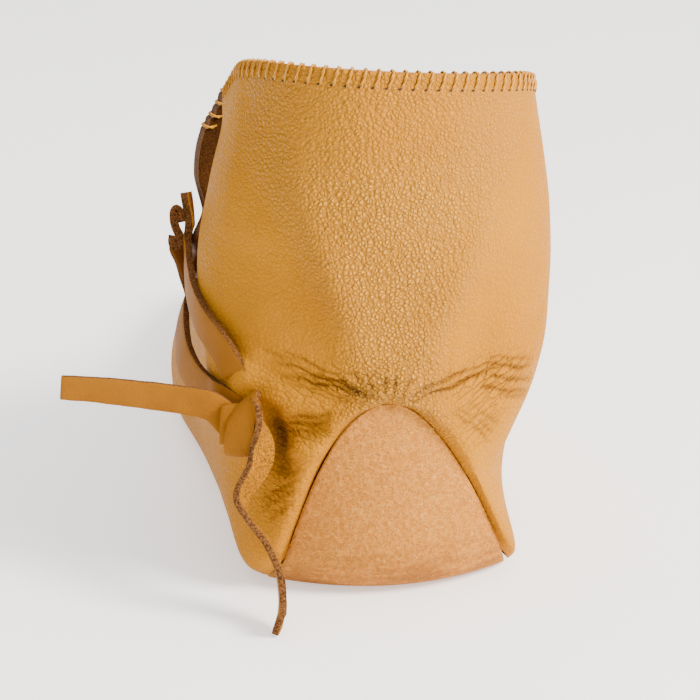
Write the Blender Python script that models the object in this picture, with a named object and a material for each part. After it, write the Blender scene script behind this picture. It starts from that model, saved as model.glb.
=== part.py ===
"""Turnshoe for the left foot: a one-piece leather upper round a sole whose heel is drawn up at the back.

The tables and sizes are in millimetres, and the model is in metres. +Y points to the toe, +Z up, and -X to
the outer side of the foot, where the shoe opens and its thongs are tied. The sole stands on z = 0.
"""

import math

import bmesh
import bpy
from mathutils import Matrix, Vector

MM = 0.001

# The last: how long, wide and high the shoe is.
SOLE_TIP_Y = 131.0
TOE_ARC_Y = 110.0
BACK_Y = -133.0
APEX_Z = 59.0
COLLAR_BACK_Z = 152.5
COLLAR_CANT = 0.094
COLLAR_CROWN = 4.8
BACK_LEAN = 8.0
TOE_SPRING = 8.0
TOE_SPRING_Y = 72.0
ARCH_RISE = 2.0
ARCH_FRONT_Y = 32.0
ARCH_BACK_Y = -58.0
HEEL_BEND_RADIUS = 13.0
HEEL_HALF_WIDTH = 34.5
HEEL_PLAN_RADIUS = 49.0
HEEL_ROUND_START_Y = -60.0
RISER_TAPER = 0.51
TOE_ROUNDNESS = 1.9
TOE_SWING = 8.0
APEX_SWING = -3.5

# The leather and how the pieces meet.
SOLE_THICKNESS = 3.5
WALL = 1.8
GAP = 0.3
SEAM_INSET = 1.4
FLOOR_ROLL = 0.5
RISER_ROLL = 3.0
ROLL_REACH = 4.5
ROLL_START_Z = 1.0
ROLL_CLIMB = 9.0

# Outline of the flat sole: distance from its tip, and half-widths to the outer and the inner side.
OUTLINE = [
    ("toe", 21, 18.5, 19.5),
    ("toe joint", 38, 27.5, 28.0),
    ("tread", 56, 34.0, 34.0),
    ("ball", 76, 38.0, 39.0),
    ("behind ball", 96, 39.5, 41.0),
    ("vamp", 118, 39.0, 38.5),
    ("waist", 142, 36.5, 33.5),
    ("arch", 168, 33.5, 29.5),
    ("rear arch", 192, 32.5, 30.0),
    ("heel", 216, 33.5, 33.0),
    ("heel bend", 251, HEEL_HALF_WIDTH, HEEL_HALF_WIDTH),
]

# Sections of the upper, from the edge round the toe to the collar. Each spans from the sole or the back
# line, `along` millimetres from the sole's tip, to its crest on the ridge line (y, z). Then come the widest
# half-widths to the outer and inner side, where along the height it is widest, how full its arch is, and
# how far its crest lies to the inner side.
SECTIONS = [
    ("toe edge", 21, 131.5, 8.5, 21.6, 22.4, 0.02, 1.90, 7.5),
    ("toe nose", 26, 134.0, 15.0, 24.6, 25.4, 0.25, 2.05, 7.0),
    ("toe", 34, 129.5, 22.5, 29.2, 30.0, 0.26, 2.10, 6.5),
    ("toe top", 46, 115.5, 27.5, 34.3, 35.0, 0.25, 2.00, 5.5),
    ("tread", 64, 93.0, 33.0, 39.6, 41.0, 0.24, 1.90, 4.5),
    ("ball", 84, 67.0, 41.0, 42.8, 44.6, 0.24, 1.85, 3.5),
    ("vamp", 106, 41.0, 52.5, 44.5, 45.0, 0.25, 1.85, 3.0),
    ("waist", 130, 16.0, 67.0, 45.0, 43.0, 0.27, 1.90, 3.0),
    ("instep", 156, -4.0, 83.0, 45.5, 41.5, 0.30, 1.95, 3.0),
    ("throat", 184, -17.0, 97.0, 46.0, 41.5, 0.33, 2.00, 3.0),
    ("ankle front", 214, -25.0, 106.0, 46.5, 44.3, 0.36, 2.05, 3.0),
    ("heel", 251, -31.0, 111.5, 47.5, 46.4, 0.38, 2.10, 3.0),
    ("heel bend", 267.7, -33.0, 113.5, 48.5, 47.8, 0.40, 2.10, 3.0),
    ("riser", 285.7, -34.5, 115.0, 49.5, 49.8, 0.42, 2.10, 3.0),
    ("riser top", 301.7, -35.8, 116.0, 50.0, 51.8, 0.45, 2.15, 3.0),
    ("apex", 317.7, -36.8, 117.0, 49.5, 52.9, 0.48, 2.20, 3.0),
    ("ankle", 337.7, -38.0, 118.5, 47.5, 52.9, 0.50, 2.20, 3.0),
    ("shaft", 360.7, -39.2, 120.0, 44.5, 51.8, 0.50, 2.20, 3.0),
    ("upper shaft", 388.7, -40.0, 121.5, 40.0, 49.3, 0.50, 2.20, 3.0),
    ("collar", 411.2, -40.5, 122.5, 37.0, 47.6, 0.50, 2.20, 3.0),
]

# Soft swellings and hollows in the slack leather: centre (x, y, z), reach, and the push along x, y and z.
SWELLINGS = [
    ("inner heel hollow", 38.0, -103.0, 28.0, 22.0, -12.0, 1.0, 0.0),
    ("outer heel hollow", -34.0, -106.0, 38.0, 13.0, 4.5, 2.5, 0.0),
    ("inner heel corner", 36.0, -114.0, 7.0, 10.0, 1.5, -2.0, 0.0),
    ("outer heel corner", -36.0, -114.0, 8.0, 11.0, -2.0, -1.0, 0.0),
    ("front of the quarter", -34.0, -66.0, 137.0, 11.0, -5.0, 0.0, -4.0),
]

# The side opening, from its foot to the collar: the place between sections, how far round from the sole's
# edge to the ridge lie the quarter's front edge and the flap's edge, and how far the flap stands off.
OPENING = [
    ("foot", 9.75, 0.500, 0.500, 0.0),
    ("lower thong", 10.75, 0.560, 0.575, 8.2),
    ("upper thong", 12.0, 0.590, 0.612, 9.2),
    ("above the knot", 13.0, 0.620, 0.655, 6.2),
    ("middle", 15.0, 0.645, 0.700, 8.6),
    ("upper middle", 17.0, 0.640, 0.700, 9.9),
    ("below collar", 18.0, 0.630, 0.700, 8.4),
    ("collar", 19.0, 0.620, 0.700, 7.6),
]
FLARE_REACH = 0.16

# The thongs take room on the outer side, so the body lies this far to the inner side of the origin.
BODY_SHIFT = Vector((2.0, 0.0, 0.0))

# The flat leather thongs. Each row is a point of the thong's middle (x, y, z) and the way its grain side
# faces there. Two bars cross the opening, and their knots and ends are cords that lie free.
THONG_WIDTH = 8.8
THONG_THICKNESS = 2.0
OUT_TAPER = 0.78
PLACE, FACING = (1, 2, 3), (4, 5, 6)
THONG_SIDE = Vector((-500.0, -100.0, 60.0))
UPPER_BAR = [
    ("quarter slot", -44.2, -114.4, 65.4, -0.79, -0.60, 0.15),
    ("heel side", -47.4, -110.2, 70.9, -0.85, -0.50, 0.05),
    ("ankle back", -50.8, -100.0, 74.9, -0.95, -0.30, 0.05),
    ("ankle", -51.8, -88.5, 77.7, -1.00, -0.08, 0.05),
    ("opening", -51.4, -75.3, 80.1, -1.00, 0.08, 0.05),
    ("under knot", -50.2, -64.0, 83.0, -1.00, 0.12, 0.05),
    ("flap", -49.6, -58.5, 86.5, -1.00, 0.14, 0.00),
]
UPPER_TIP = [
    ("out of knot", -48.6, -57.0, 91.0, -0.97, 0.24, 0.00),
    ("middle", -48.7, -55.0, 95.0, -0.95, 0.30, 0.00),
    ("end", -49.2, -53.5, 99.5, -0.95, 0.30, 0.05),
]
UPPER_HANG = [
    ("out of knot", -53.8, -58.6, 77.4, -1.00, -0.15, 0.00),
    ("middle", -52.8, -60.6, 74.0, -0.98, -0.25, 0.00),
    ("end", -51.6, -63.0, 70.2, -0.97, -0.30, -0.10),
]
LOWER_BAR = [
    ("under knot", -47.8, -112.2, 56.2, -0.83, -0.55, 0.10),
    ("heel side", -49.9, -105.2, 55.8, -0.90, -0.40, 0.15),
    ("ankle back", -52.3, -94.2, 56.1, -0.95, -0.20, 0.25),
    ("ankle", -53.7, -81.5, 57.9, -0.95, 0.00, 0.30),
    ("opening", -52.8, -68.9, 60.7, -0.92, 0.15, 0.30),
    ("flap", -50.4, -56.0, 64.5, -0.88, 0.30, 0.30),
    ("flap slot", -45.0, -47.0, 68.0, -0.85, 0.40, 0.30),
]
LOWER_OUT = [
    ("knot", -51.0, -117.0, 55.9, -0.30, -0.94, 0.10),
    ("beside knot", -58.5, -114.5, 57.4, -0.20, -0.97, 0.05),
    ("middle", -70.0, -111.5, 58.7, -0.12, -0.99, 0.00),
    ("outer", -82.0, -109.0, 60.0, -0.12, -0.99, 0.00),
    ("end", -92.6, -107.2, 60.8, -0.12, -0.99, 0.00),
]
LOWER_DOWN = [
    ("knot", -38.6, -128.5, 47.0, -0.55, 0.70, 0.00),
    ("twist", -40.2, -130.5, 41.5, -0.60, 0.75, 0.10),
    ("bow", -45.0, -132.5, 34.5, -0.80, 0.58, 0.12),
    ("turn", -44.2, -135.5, 29.0, -0.98, 0.10, -0.20),
    ("fall", -38.6, -139.5, 22.0, -0.90, 0.10, -0.40),
    ("foot", -36.0, -144.0, 14.0, -0.98, 0.10, -0.15),
    ("floor", -36.4, -149.5, 7.0, -1.00, 0.10, 0.05),
    ("end", -38.4, -155.5, 4.8, -0.95, 0.10, 0.30),
]
# The knots, as flattened rounded blocks: middle (x, y, z), size along their width, thickness and height,
# and their turn about the upright axis and then their lean, in degrees.
KNOTS = {
    "knot_upper": (-53.2, -56.6, 88.0, 8.8, 3.8, 17.0, 93.0, 8.0),
    "knot_lower": (-44.0, -121.5, 50.0, 9.4, 6.4, 17.0, 40.0, 0.0),
}

# How finely the surfaces are divided.
STEPS_PER_SECTION = 2
SIDE_STEPS = 19
QUARTER_STEPS = 12
LOWER_SHARE_SOLE = 0.27
LOWER_SHARE_SHAFT = 0.5
SEAM_CROWDING = 1.3
TOE_STEPS = 10
THONG_STEPS = 3
SOLE_ACROSS = 8
EXTRA_APEX_STEPS = (0.35, 0.65, 0.85)
UPPER_SMOOTHINGS = 3
KNOT_ROUNDING = 0.3
INSTEP_ROW, APEX_ROW, ANKLE_ROW = (
    [row[0] for row in SECTIONS].index(name) for name in ("instep", "apex", "ankle")
)


def clear_scene():
    for item in list(bpy.data.objects):
        bpy.data.objects.remove(item, do_unlink=True)


def leather(name, colour, roughness):
    """A Principled material in the leather's colour."""
    material = bpy.data.materials.new(name)
    material.use_nodes = True
    shader = material.node_tree.nodes["Principled BSDF"]
    shader.inputs["Base Color"].default_value = (*colour, 1.0)
    shader.inputs["Roughness"].default_value = roughness
    shader.inputs["Metallic"].default_value = 0.0
    return material


def ease(x):
    """0 below 0, 1 above 1, and a soft S between."""
    x = min(max(x, 0.0), 1.0)
    return x * x * (3.0 - 2.0 * x)


def along_rows(rows, column, place):
    """The column's value on a smooth curve through the rows; place 1.5 lies between rows 1 and 2."""
    last = len(rows) - 1
    i = min(max(int(place), 0), last - 1)
    t = place - i
    before, start, end, after = (rows[min(max(i + k, 0), last)][column] for k in (-1, 0, 1, 2))
    slope_in = (end - before) / 2.0 if i > 0 else end - start
    slope_out = (after - start) / 2.0 if i + 1 < last else end - start
    return (
        start * (2 * t**3 - 3 * t**2 + 1)
        + slope_in * (t**3 - 2 * t**2 + t)
        + end * (3 * t**2 - 2 * t**3)
        + slope_out * (t**3 - t**2)
    )


def place_in(rows, column, value):
    """The place at which a rising column reaches a value, straight between its rows."""
    for i in range(len(rows) - 1):
        low, high = rows[i][column], rows[i + 1][column]
        if value <= high:
            return i + max(value - low, 0.0) / (high - low)
    return float(len(rows) - 1)


BEND_START = SOLE_TIP_Y - (BACK_Y + HEEL_BEND_RADIUS)
BEND_END = BEND_START + HEEL_BEND_RADIUS * math.pi / 2


def centre_line(along):
    """(y, z) on the underside of the sole, then up the heel and the back, at a distance from the tip."""
    if along <= BEND_START:
        y = SOLE_TIP_Y - along
        z = TOE_SPRING * max((y - TOE_SPRING_Y) / (SOLE_TIP_Y - TOE_SPRING_Y), 0.0) ** 2
        if ARCH_BACK_Y < y < ARCH_FRONT_Y:
            z += ARCH_RISE * math.sin(math.pi * (y - ARCH_BACK_Y) / (ARCH_FRONT_Y - ARCH_BACK_Y)) ** 2
        return y, z
    if along <= BEND_END:
        turn = (along - BEND_START) / HEEL_BEND_RADIUS
        return (
            BACK_Y + HEEL_BEND_RADIUS * (1.0 - math.sin(turn)),
            HEEL_BEND_RADIUS * (1.0 - math.cos(turn)),
        )
    z = HEEL_BEND_RADIUS + along - BEND_END
    lean = (z - HEEL_BEND_RADIUS) / (COLLAR_BACK_Z - HEEL_BEND_RADIUS)
    return BACK_Y + BACK_LEAN * lean**2, z


def inward_normal(along):
    """Unit normal of the sole's underside at its centre line, pointing into the shoe."""
    step = 0.5
    (y0, z0), (y1, z1) = centre_line(along - step), centre_line(along + step)
    return Vector((0.0, z1 - z0, y0 - y1)).normalized()


def edge_half_width(along, side):
    """Half-width of the sole or of its heel riser; side is -1 outer, +1 inner."""
    if along <= BEND_START:
        place = place_in(OUTLINE, 1, along)
        return along_rows(OUTLINE, 2 if side < 0 else 3, place)
    z = centre_line(along)[1]
    return HEEL_HALF_WIDTH * max(1.0 - z / APEX_Z, 0.0) ** RISER_TAPER


def swing(along):
    """How far the centre line lies to the inner side: the toe turns inwards, and the apex outwards."""
    y, z = centre_line(along)
    if y > 0.0:
        return TOE_SWING * (y / SOLE_TIP_Y) ** 2
    return APEX_SWING * ease(z / APEX_Z) if along > BEND_START else 0.0


def heel_round(along, half_width):
    """How far forward the rounded heel carries an edge point."""
    y = centre_line(along)[0]
    reach = HEEL_ROUND_START_Y - BACK_Y - HEEL_BEND_RADIUS
    share = ease((HEEL_ROUND_START_Y - y) / reach) if along < BEND_START else 1.0
    return share * half_width**2 / (2.0 * HEEL_PLAN_RADIUS)


def sole_edge(along, side):
    """A point on the lower edge of the sole's rim."""
    half = edge_half_width(along, side)
    y, z = centre_line(along)
    return Vector((swing(along) + side * half, y + heel_round(along, half), z))


def arch_point(turn, width, height, fullness):
    """A point of a quarter superellipse: turn 0 is at its width, and a quarter turn at its height."""
    power = 2.0 / fullness
    return width * max(math.cos(turn), 0.0) ** power, height * max(math.sin(turn), 0.0) ** power


def toe_edge(turn, side):
    """A point of the sole's edge round the toe; turn 0 is at TOE_ARC_Y, and a quarter turn at the tip."""
    start = SOLE_TIP_Y - TOE_ARC_Y
    half = edge_half_width(start, side)
    x, forward = arch_point(turn, half, start, TOE_ROUNDNESS)
    along = start - forward
    return Vector((swing(along) + side * x, TOE_ARC_Y + forward, centre_line(along)[1]))


def rim_outward(before, after, inward, side):
    """Unit direction away from the sole, square to its edge."""
    out = (after - before).cross(inward).normalized()
    return out if out.x * side >= 0.0 else -out


def riser_share(z):
    """0 under the foot, where the wall stands beside the sole's rim, and 1 up the riser, where it butts."""
    return ease((z - ROLL_START_Z) / ROLL_CLIMB)


def upper_base(along, side):
    """Where the upper's outer face starts, just outside the sole's edge."""
    inward = inward_normal(along)
    edge = sole_edge(along, side)
    out = rim_outward(sole_edge(along - 1.0, side), sole_edge(along + 1.0, side), inward, side)
    return edge + (GAP + WALL * (1.0 - riser_share(edge.z))) * out + SEAM_INSET * inward


def roll(distance, reach):
    """0 at the seam, 1 at the reach and falling off softly after it."""
    share = distance / reach
    return share**2 * math.exp(2.0 * (1.0 - share))


def toe_seam(around, side):
    """Where the upper's outer face starts round the toe; around is 0 at TOE_ARC_Y and 1 at the tip."""
    turn = around * math.pi / 2
    edge = toe_edge(turn, side)
    before, after = toe_edge(max(turn - 0.02, 0.0), side), toe_edge(min(turn + 0.02, math.pi / 2), side)
    out = Vector((after.y - before.y, before.x - after.x, 0.0)).normalized()
    return edge + (GAP + WALL) * (out if out.x * side >= 0.0 else -out) + Vector((0.0, 0.0, SEAM_INSET))


def upper_point(place, side, around):
    """A point of the upper's outer face; around is 0 at the sole's edge and 1 at the ridge."""
    if place == 0:
        return toe_seam(around, side)
    along, crest_y, crest_z, _, _, belly, fullness, lean = (
        along_rows(SECTIONS, column, place) for column in range(1, 9)
    )
    widest = along_rows(SECTIONS, 4 if side < 0 else 5, place)
    y, z = centre_line(along)
    inward = inward_normal(along)
    on_sole = z < APEX_Z
    half = edge_half_width(along, side) if on_sole else 0.0
    middle = swing(along)
    if half > 0.0:
        base = upper_base(along, side)
    else:
        base = Vector((middle, y, z)) + inward * SEAM_INSET * math.exp((APEX_Z - z) / ROLL_REACH)
    start = Vector((0.0, base.y, base.z))
    rise = Vector((0.0, crest_y, crest_z)) - start
    shaft_share = ease((place - INSTEP_ROW) / (ANKLE_ROW - INSTEP_ROW))
    lower_share = LOWER_SHARE_SOLE + (LOWER_SHARE_SHAFT - LOWER_SHARE_SOLE) * shaft_share
    edge = abs(base.x - middle)
    if around < lower_share:
        turn = (around / lower_share) ** SEAM_CROWDING * math.pi / 2
        out = edge + (widest - edge) * math.sin(turn)
        height = belly * (1.0 - math.cos(turn))
    else:
        turn = (around - lower_share) / (1.0 - lower_share) * math.pi / 2
        out, height = arch_point(turn, widest, 1.0 - belly, fullness)
        height += belly
    point = start + rise * height
    point.x = side * out + middle + (lean - middle) * height
    swell = FLOOR_ROLL + (RISER_ROLL - FLOOR_ROLL) * riser_share(z)
    seam = base if half > 0.0 else Vector((APEX_SWING, centre_line(SECTIONS[APEX_ROW][1])[0], APEX_Z))
    point -= inward * swell * roll((point - seam).length, ROLL_REACH)
    collar_share = ease((place - APEX_ROW) / (len(SECTIONS) - 1 - APEX_ROW))
    point.z += collar_share * (COLLAR_CROWN * math.sin(math.pi * height) - COLLAR_CANT * point.x)
    free = 1.0 - math.exp(-(((point - seam).length / ROLL_REACH) ** 2))
    for _, x, y, z, reach, *push in SWELLINGS:
        share = math.exp(-(((point - Vector((x, y, z))).length / reach) ** 2)) * free
        point += share * Vector(push)
    return point


def grid(name, rows, columns, point, material):
    """An object and its bmesh, with a grid of vertices placed by point(row, column)."""
    form = bmesh.new()
    bmesh.ops.create_grid(form, x_segments=columns - 1, y_segments=rows - 1, size=1.0)
    ordered = sorted(form.verts, key=lambda v: (round(v.co.y, 5), round(v.co.x, 5)))
    places = {v: divmod(k, columns) for k, v in enumerate(ordered)}
    for v, (row, column) in places.items():
        v.co = (point(row, column) + BODY_SHIFT) * MM
    mesh = bpy.data.meshes.new(name)
    mesh.materials.append(material)
    thing = bpy.data.objects.new(name, mesh)
    bpy.context.scene.collection.objects.link(thing)
    return thing, form, places


def finish(thing, form, outside, thickness, smoothings=0):
    """Closes the sheet's seams, turns its faces to a point outside and gives it its thickness inwards."""
    bmesh.ops.remove_doubles(form, verts=form.verts, dist=0.00002)
    inside = [v for v in form.verts if not v.is_boundary]
    for _ in range(smoothings):
        bmesh.ops.smooth_vert(
            form, verts=inside, factor=0.5, use_axis_x=True, use_axis_y=True, use_axis_z=True
        )
    bmesh.ops.recalc_face_normals(form, faces=form.faces)
    form.faces.ensure_lookup_table()
    nearest = min(form.faces, key=lambda f: (f.calc_center_median() - outside * MM).length)
    if nearest.normal.dot(outside * MM - nearest.calc_center_median()) < 0.0:
        bmesh.ops.reverse_faces(form, faces=form.faces)
    form.to_mesh(thing.data)
    form.free()
    thing.data.shade_smooth()
    wall = thing.modifiers.new("wall", "SOLIDIFY")
    wall.thickness = thickness * MM
    wall.offset = -1.0
    wall.use_even_offset = True
    wall.use_quality_normals = True


def section_places(first, last):
    """Places of the sections, closer together round the heel riser's apex."""
    places = []
    for k in range(round((last - first) * STEPS_PER_SECTION)):
        place = first + k / STEPS_PER_SECTION
        places.append(place)
        if APEX_ROW - 0.6 < place < APEX_ROW + 0.4:
            places += [place + share / STEPS_PER_SECTION for share in EXTRA_APEX_STEPS]
    return places + [last]


def build_sole(material):
    """The sole with its heel riser, from the tip to the apex."""
    toe_turns = [k / TOE_STEPS * math.pi / 2 for k in range(TOE_STEPS, 0, -1)]
    alongs = [along_rows(SECTIONS, 1, place) for place in section_places(0, APEX_ROW)]

    def point(row, column):
        if row < len(toe_turns):
            left, right = (toe_edge(toe_turns[row], side) for side in (-1, 1))
            return left.lerp(right, column / SOLE_ACROSS)
        along = alongs[row - len(toe_turns)]
        left, right = (sole_edge(along, side) for side in (-1, 1))
        spot = left.lerp(right, column / SOLE_ACROSS)
        spot.y = centre_line(along)[0] + heel_round(along, spot.x - swing(along))
        return spot

    sole, form, _ = grid("sole", len(toe_turns) + len(alongs), SOLE_ACROSS + 1, point, material)
    finish(sole, form, Vector((0.0, 0.0, -50.0)), SOLE_THICKNESS)
    return sole


def opening_sides(place):
    """How far round lie the quarter's front edge and the flap's edge, and how far the flap stands off."""
    at = place_in(OPENING, 1, place)
    return [along_rows(OPENING, column, at) for column in (2, 3, 4)]


def build_upper(material):
    """The upper in one piece, open at the collar, down its outer side and along the sole."""
    places = section_places(0, len(SECTIONS) - 1)
    steps = SIDE_STEPS
    quarter_steps = QUARTER_STEPS
    columns = 2 * steps + 2

    def point(row, column):
        place = places[row]
        quarter, flap, stand = opening_sides(place)
        if column <= quarter_steps:
            around = quarter * column / quarter_steps
            return upper_point(place, -1, around)
        if column <= steps + 1:
            around = flap + (1.0 - flap) * (column - quarter_steps - 1) / (steps - quarter_steps)
            spot = upper_point(place, -1, around)
            flare = stand * math.exp(-(((around - flap) / FLARE_REACH) ** 2))
            return spot + Vector((-flare, 0.0, 0.0))
        return upper_point(place, 1, (2 * steps + 1 - column) / steps)

    upper, form, marks = grid("upper", len(places), columns, point, material)
    between = [f for f in form.faces if {marks[v][1] for v in f.verts} == {quarter_steps, quarter_steps + 1}]
    bmesh.ops.delete(form, geom=between, context="FACES_ONLY")
    finish(upper, form, Vector((0.0, BACK_Y - 50.0, 100.0)), WALL, UPPER_SMOOTHINGS)
    return upper


def thong(name, rows, material, taper=1.0):
    """A flat thong through the rows, narrowing to taper times its width at its last row."""
    last = len(rows) - 1
    count = THONG_STEPS * last + 1

    def read(columns, at):
        return Vector([along_rows(rows, column, min(max(at, 0.0), last)) for column in columns])

    def point(row, column):
        at = row / THONG_STEPS
        onward = read(PLACE, at + 0.05) - read(PLACE, at - 0.05)
        across = onward.cross(read(FACING, at)).normalized()
        half = THONG_WIDTH / 2 * (1.0 + (taper - 1.0) * at / last)
        return read(PLACE, at) + across * half * (2 * column - 1)

    strip, form, _ = grid(name, count, 2, point, material)
    finish(strip, form, THONG_SIDE, THONG_THICKNESS)
    strip.modifiers["wall"].offset = 0.0
    return strip


def knot(name, material):
    """A knot's folds, as one flattened block with rounded edges."""
    x, y, z, width, thickness, height, turn, lean = KNOTS[name]
    form = bmesh.new()
    bmesh.ops.create_cube(form, size=1.0)
    bmesh.ops.scale(form, vec=Vector((width, thickness, height)) * MM, verts=form.verts)
    bmesh.ops.bevel(
        form,
        geom=form.edges[:],
        affect="EDGES",
        offset=KNOT_ROUNDING * thickness * MM,
        segments=2,
        profile=0.5,
        material=-1,
    )
    tilt = Matrix.Rotation(math.radians(turn), 3, "Z") @ Matrix.Rotation(math.radians(lean), 3, "Y")
    bmesh.ops.rotate(form, cent=(0.0, 0.0, 0.0), matrix=tilt, verts=form.verts)
    bmesh.ops.translate(form, vec=(Vector((x, y, z)) + BODY_SHIFT) * MM, verts=form.verts)
    mesh = bpy.data.meshes.new(name)
    mesh.materials.append(material)
    form.to_mesh(mesh)
    form.free()
    mesh.shade_smooth()
    block = bpy.data.objects.new(name, mesh)
    bpy.context.scene.collection.objects.link(block)
    return block


def main():
    clear_scene()
    tan = leather("natural leather", (0.69, 0.44, 0.22), 0.6)
    ochre = leather("ochre leather", (0.60, 0.30, 0.08), 0.5)
    build_sole(tan)
    build_upper(ochre)
    thong("thong_bar_upper", UPPER_BAR, ochre)
    thong("end_upper_tip", UPPER_TIP, ochre)
    thong("end_upper_hang", UPPER_HANG, ochre)
    thong("thong_bar_lower", LOWER_BAR, ochre)
    thong("end_lower_out", LOWER_OUT, ochre, OUT_TAPER)
    thong("end_lower_down", LOWER_DOWN, ochre)
    for name in KNOTS:
        knot(name, ochre)


main()
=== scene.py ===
# %% [markdown]
# # A turnshoe in Blender
# A turnshoe is sewn inside out and then turned, so its seams end up hidden. This one is a soft ankle shoe
# for the left foot: one piece of pebbled ochre leather wraps round the foot, a plain sole is drawn up at the
# back into a triangular riser, and flat leather thongs tie the side opening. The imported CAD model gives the
# frame: every piece here is laid where its CAD solid is, and replaces it with the real surface.

# %% Load the frame
import math
from functools import partial

import bmesh
import bpy
from mathutils import Matrix, Vector, kdtree, noise
from mathutils.bvhtree import BVHTree


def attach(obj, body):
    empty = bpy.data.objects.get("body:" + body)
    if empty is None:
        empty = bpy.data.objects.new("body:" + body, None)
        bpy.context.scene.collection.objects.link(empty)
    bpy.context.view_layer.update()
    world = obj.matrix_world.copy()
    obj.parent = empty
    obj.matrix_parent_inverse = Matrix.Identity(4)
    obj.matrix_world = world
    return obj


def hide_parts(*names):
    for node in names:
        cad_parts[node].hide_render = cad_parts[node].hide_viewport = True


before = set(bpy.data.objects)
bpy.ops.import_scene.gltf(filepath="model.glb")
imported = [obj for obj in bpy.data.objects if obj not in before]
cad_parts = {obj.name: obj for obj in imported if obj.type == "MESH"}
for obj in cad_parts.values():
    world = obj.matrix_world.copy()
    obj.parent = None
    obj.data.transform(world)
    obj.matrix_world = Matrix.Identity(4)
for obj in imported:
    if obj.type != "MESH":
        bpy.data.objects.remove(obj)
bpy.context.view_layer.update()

MM = 0.001

# %% [markdown]
# ## Camera
# The shoe is seen from behind, a little from its left and from above. A long lens a metre away keeps the
# upright lines nearly parallel. The camera is placed by two angles and a distance from a point it aims at,
# which is easier to think about than a location and a rotation.

# %% Camera
AIM = Vector((-4.0, -85.0, 58.8))
AZIMUTH = math.radians(-10.0)
ELEVATION = math.radians(19.5)
DISTANCE = 1130.0
TOWARDS_CAMERA = Vector(
    (
        math.sin(AZIMUTH) * math.cos(ELEVATION),
        -math.cos(AZIMUTH) * math.cos(ELEVATION),
        math.sin(ELEVATION),
    )
)


def make_camera():
    lens = bpy.data.cameras.new("camera")
    lens.lens = 200.0
    lens.sensor_width = 36.0
    lens.clip_start, lens.clip_end = 0.05, 20.0
    camera = bpy.data.objects.new("camera", lens)
    camera.location = (AIM + TOWARDS_CAMERA * DISTANCE) * MM
    camera.rotation_euler = (-TOWARDS_CAMERA).to_track_quat("-Z", "Y").to_euler()
    bpy.context.scene.collection.objects.link(camera)
    bpy.context.scene.camera = camera
    return camera


camera = make_camera()
print("camera at", [round(c, 3) for c in camera.location])

# %% [markdown]
# ## Reading a short table smoothly
# Every long shape here comes from a short table: each row is a station along it, and each column a measure.
# A smooth curve through each column gives a value anywhere between the rows, so a dozen rows are enough.

# %% Curves through a table
# The thongs take room on the outer side, so the body lies this far to the inner side of the origin.
BODY_SHIFT = Vector((2.0, 0.0, 0.0))


def ease(x):
    """0 below 0, 1 above 1, and a soft S between."""
    x = min(max(x, 0.0), 1.0)
    return x * x * (3.0 - 2.0 * x)


def along_rows(rows, column, place):
    """The column's value on a smooth curve through the rows; place 1.5 lies between rows 1 and 2."""
    last = len(rows) - 1
    i = min(max(int(place), 0), last - 1)
    t = place - i
    before, start, end, after = (rows[min(max(i + k, 0), last)][column] for k in (-1, 0, 1, 2))
    slope_in = (end - before) / 2.0 if i > 0 else end - start
    slope_out = (after - start) / 2.0 if i + 1 < last else end - start
    return (
        start * (2 * t**3 - 3 * t**2 + 1)
        + slope_in * (t**3 - 2 * t**2 + t)
        + end * (3 * t**2 - 2 * t**3)
        + slope_out * (t**3 - t**2)
    )


def place_in(rows, column, value):
    """The place at which a rising column reaches a value, straight between its rows."""
    for i in range(len(rows) - 1):
        low, high = rows[i][column], rows[i + 1][column]
        if value <= high:
            return i + max(value - low, 0.0) / (high - low)
    return float(len(rows) - 1)


def read_row(rows, columns, at):
    """Several columns of a table at once, as a vector."""
    at = min(max(at, 0.0), len(rows) - 1.0)
    return Vector([along_rows(rows, column, at) for column in columns])


print("a soft S has climbed", round(ease(0.25), 3), "after a quarter of its way")

# %% [markdown]
# ## Materials
# Every material starts as a Principled shader. Colours are picked as ordinary hex values, which one function
# turns into the linear numbers that the renderer works with. A second small function adds a node, sets it
# and links it, so a whole texture reads as a short list. All patterns use object coordinates in metres, so a
# pattern that repeats every 2 mm has a scale of 1000 / 2. Blender's view turns bright colours paler, so the
# hex values are deeper than the leather looks.


# %% Helpers for materials
def linear(code):
    """An sRGB hex colour as linear RGBA."""
    channels = [int(code[i : i + 2], 16) / 255.0 for i in (1, 3, 5)]
    return (*(c / 12.92 if c <= 0.04045 else ((c + 0.055) / 1.055) ** 2.4 for c in channels), 1.0)


def fill(made, inputs):
    """Fills a node's inputs with values, sockets or other nodes' first outputs."""
    for name, value in inputs.items():
        if isinstance(value, bpy.types.Node):
            value = next(socket for socket in value.outputs if socket.enabled)
        if isinstance(value, bpy.types.NodeSocket):
            made.id_data.links.new(value, made.inputs[name])
        else:
            made.inputs[name].default_value = value


def add_node(material, kind, inputs=None, **settings):
    """Adds a node of any kind, sets it and fills its inputs."""
    made = material.node_tree.nodes.new(kind)
    for name, value in settings.items():
        setattr(made, name, value)
    fill(made, inputs or {})
    return made


def per_metre(millimetres):
    """Texture scale of a pattern that repeats every so many millimetres."""
    return 1.0 / (millimetres * MM)


def start_material(name):
    """A new material: the material, its shader, its object coordinates, and add_node ready for it."""
    material = bpy.data.materials.new(name)
    material.use_nodes = True
    place = add_node(material, "ShaderNodeTexCoord").outputs["Object"]
    return material, material.node_tree.nodes["Principled BSDF"], place, partial(add_node, material)


# A Mix node set to colours keeps its two colours in these sockets, and its result in this one.
MIX_A, MIX_B = 6, 7
MIXED = 2
print("a pattern of 2 mm repeats", per_metre(2.0), "times a metre")

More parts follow.
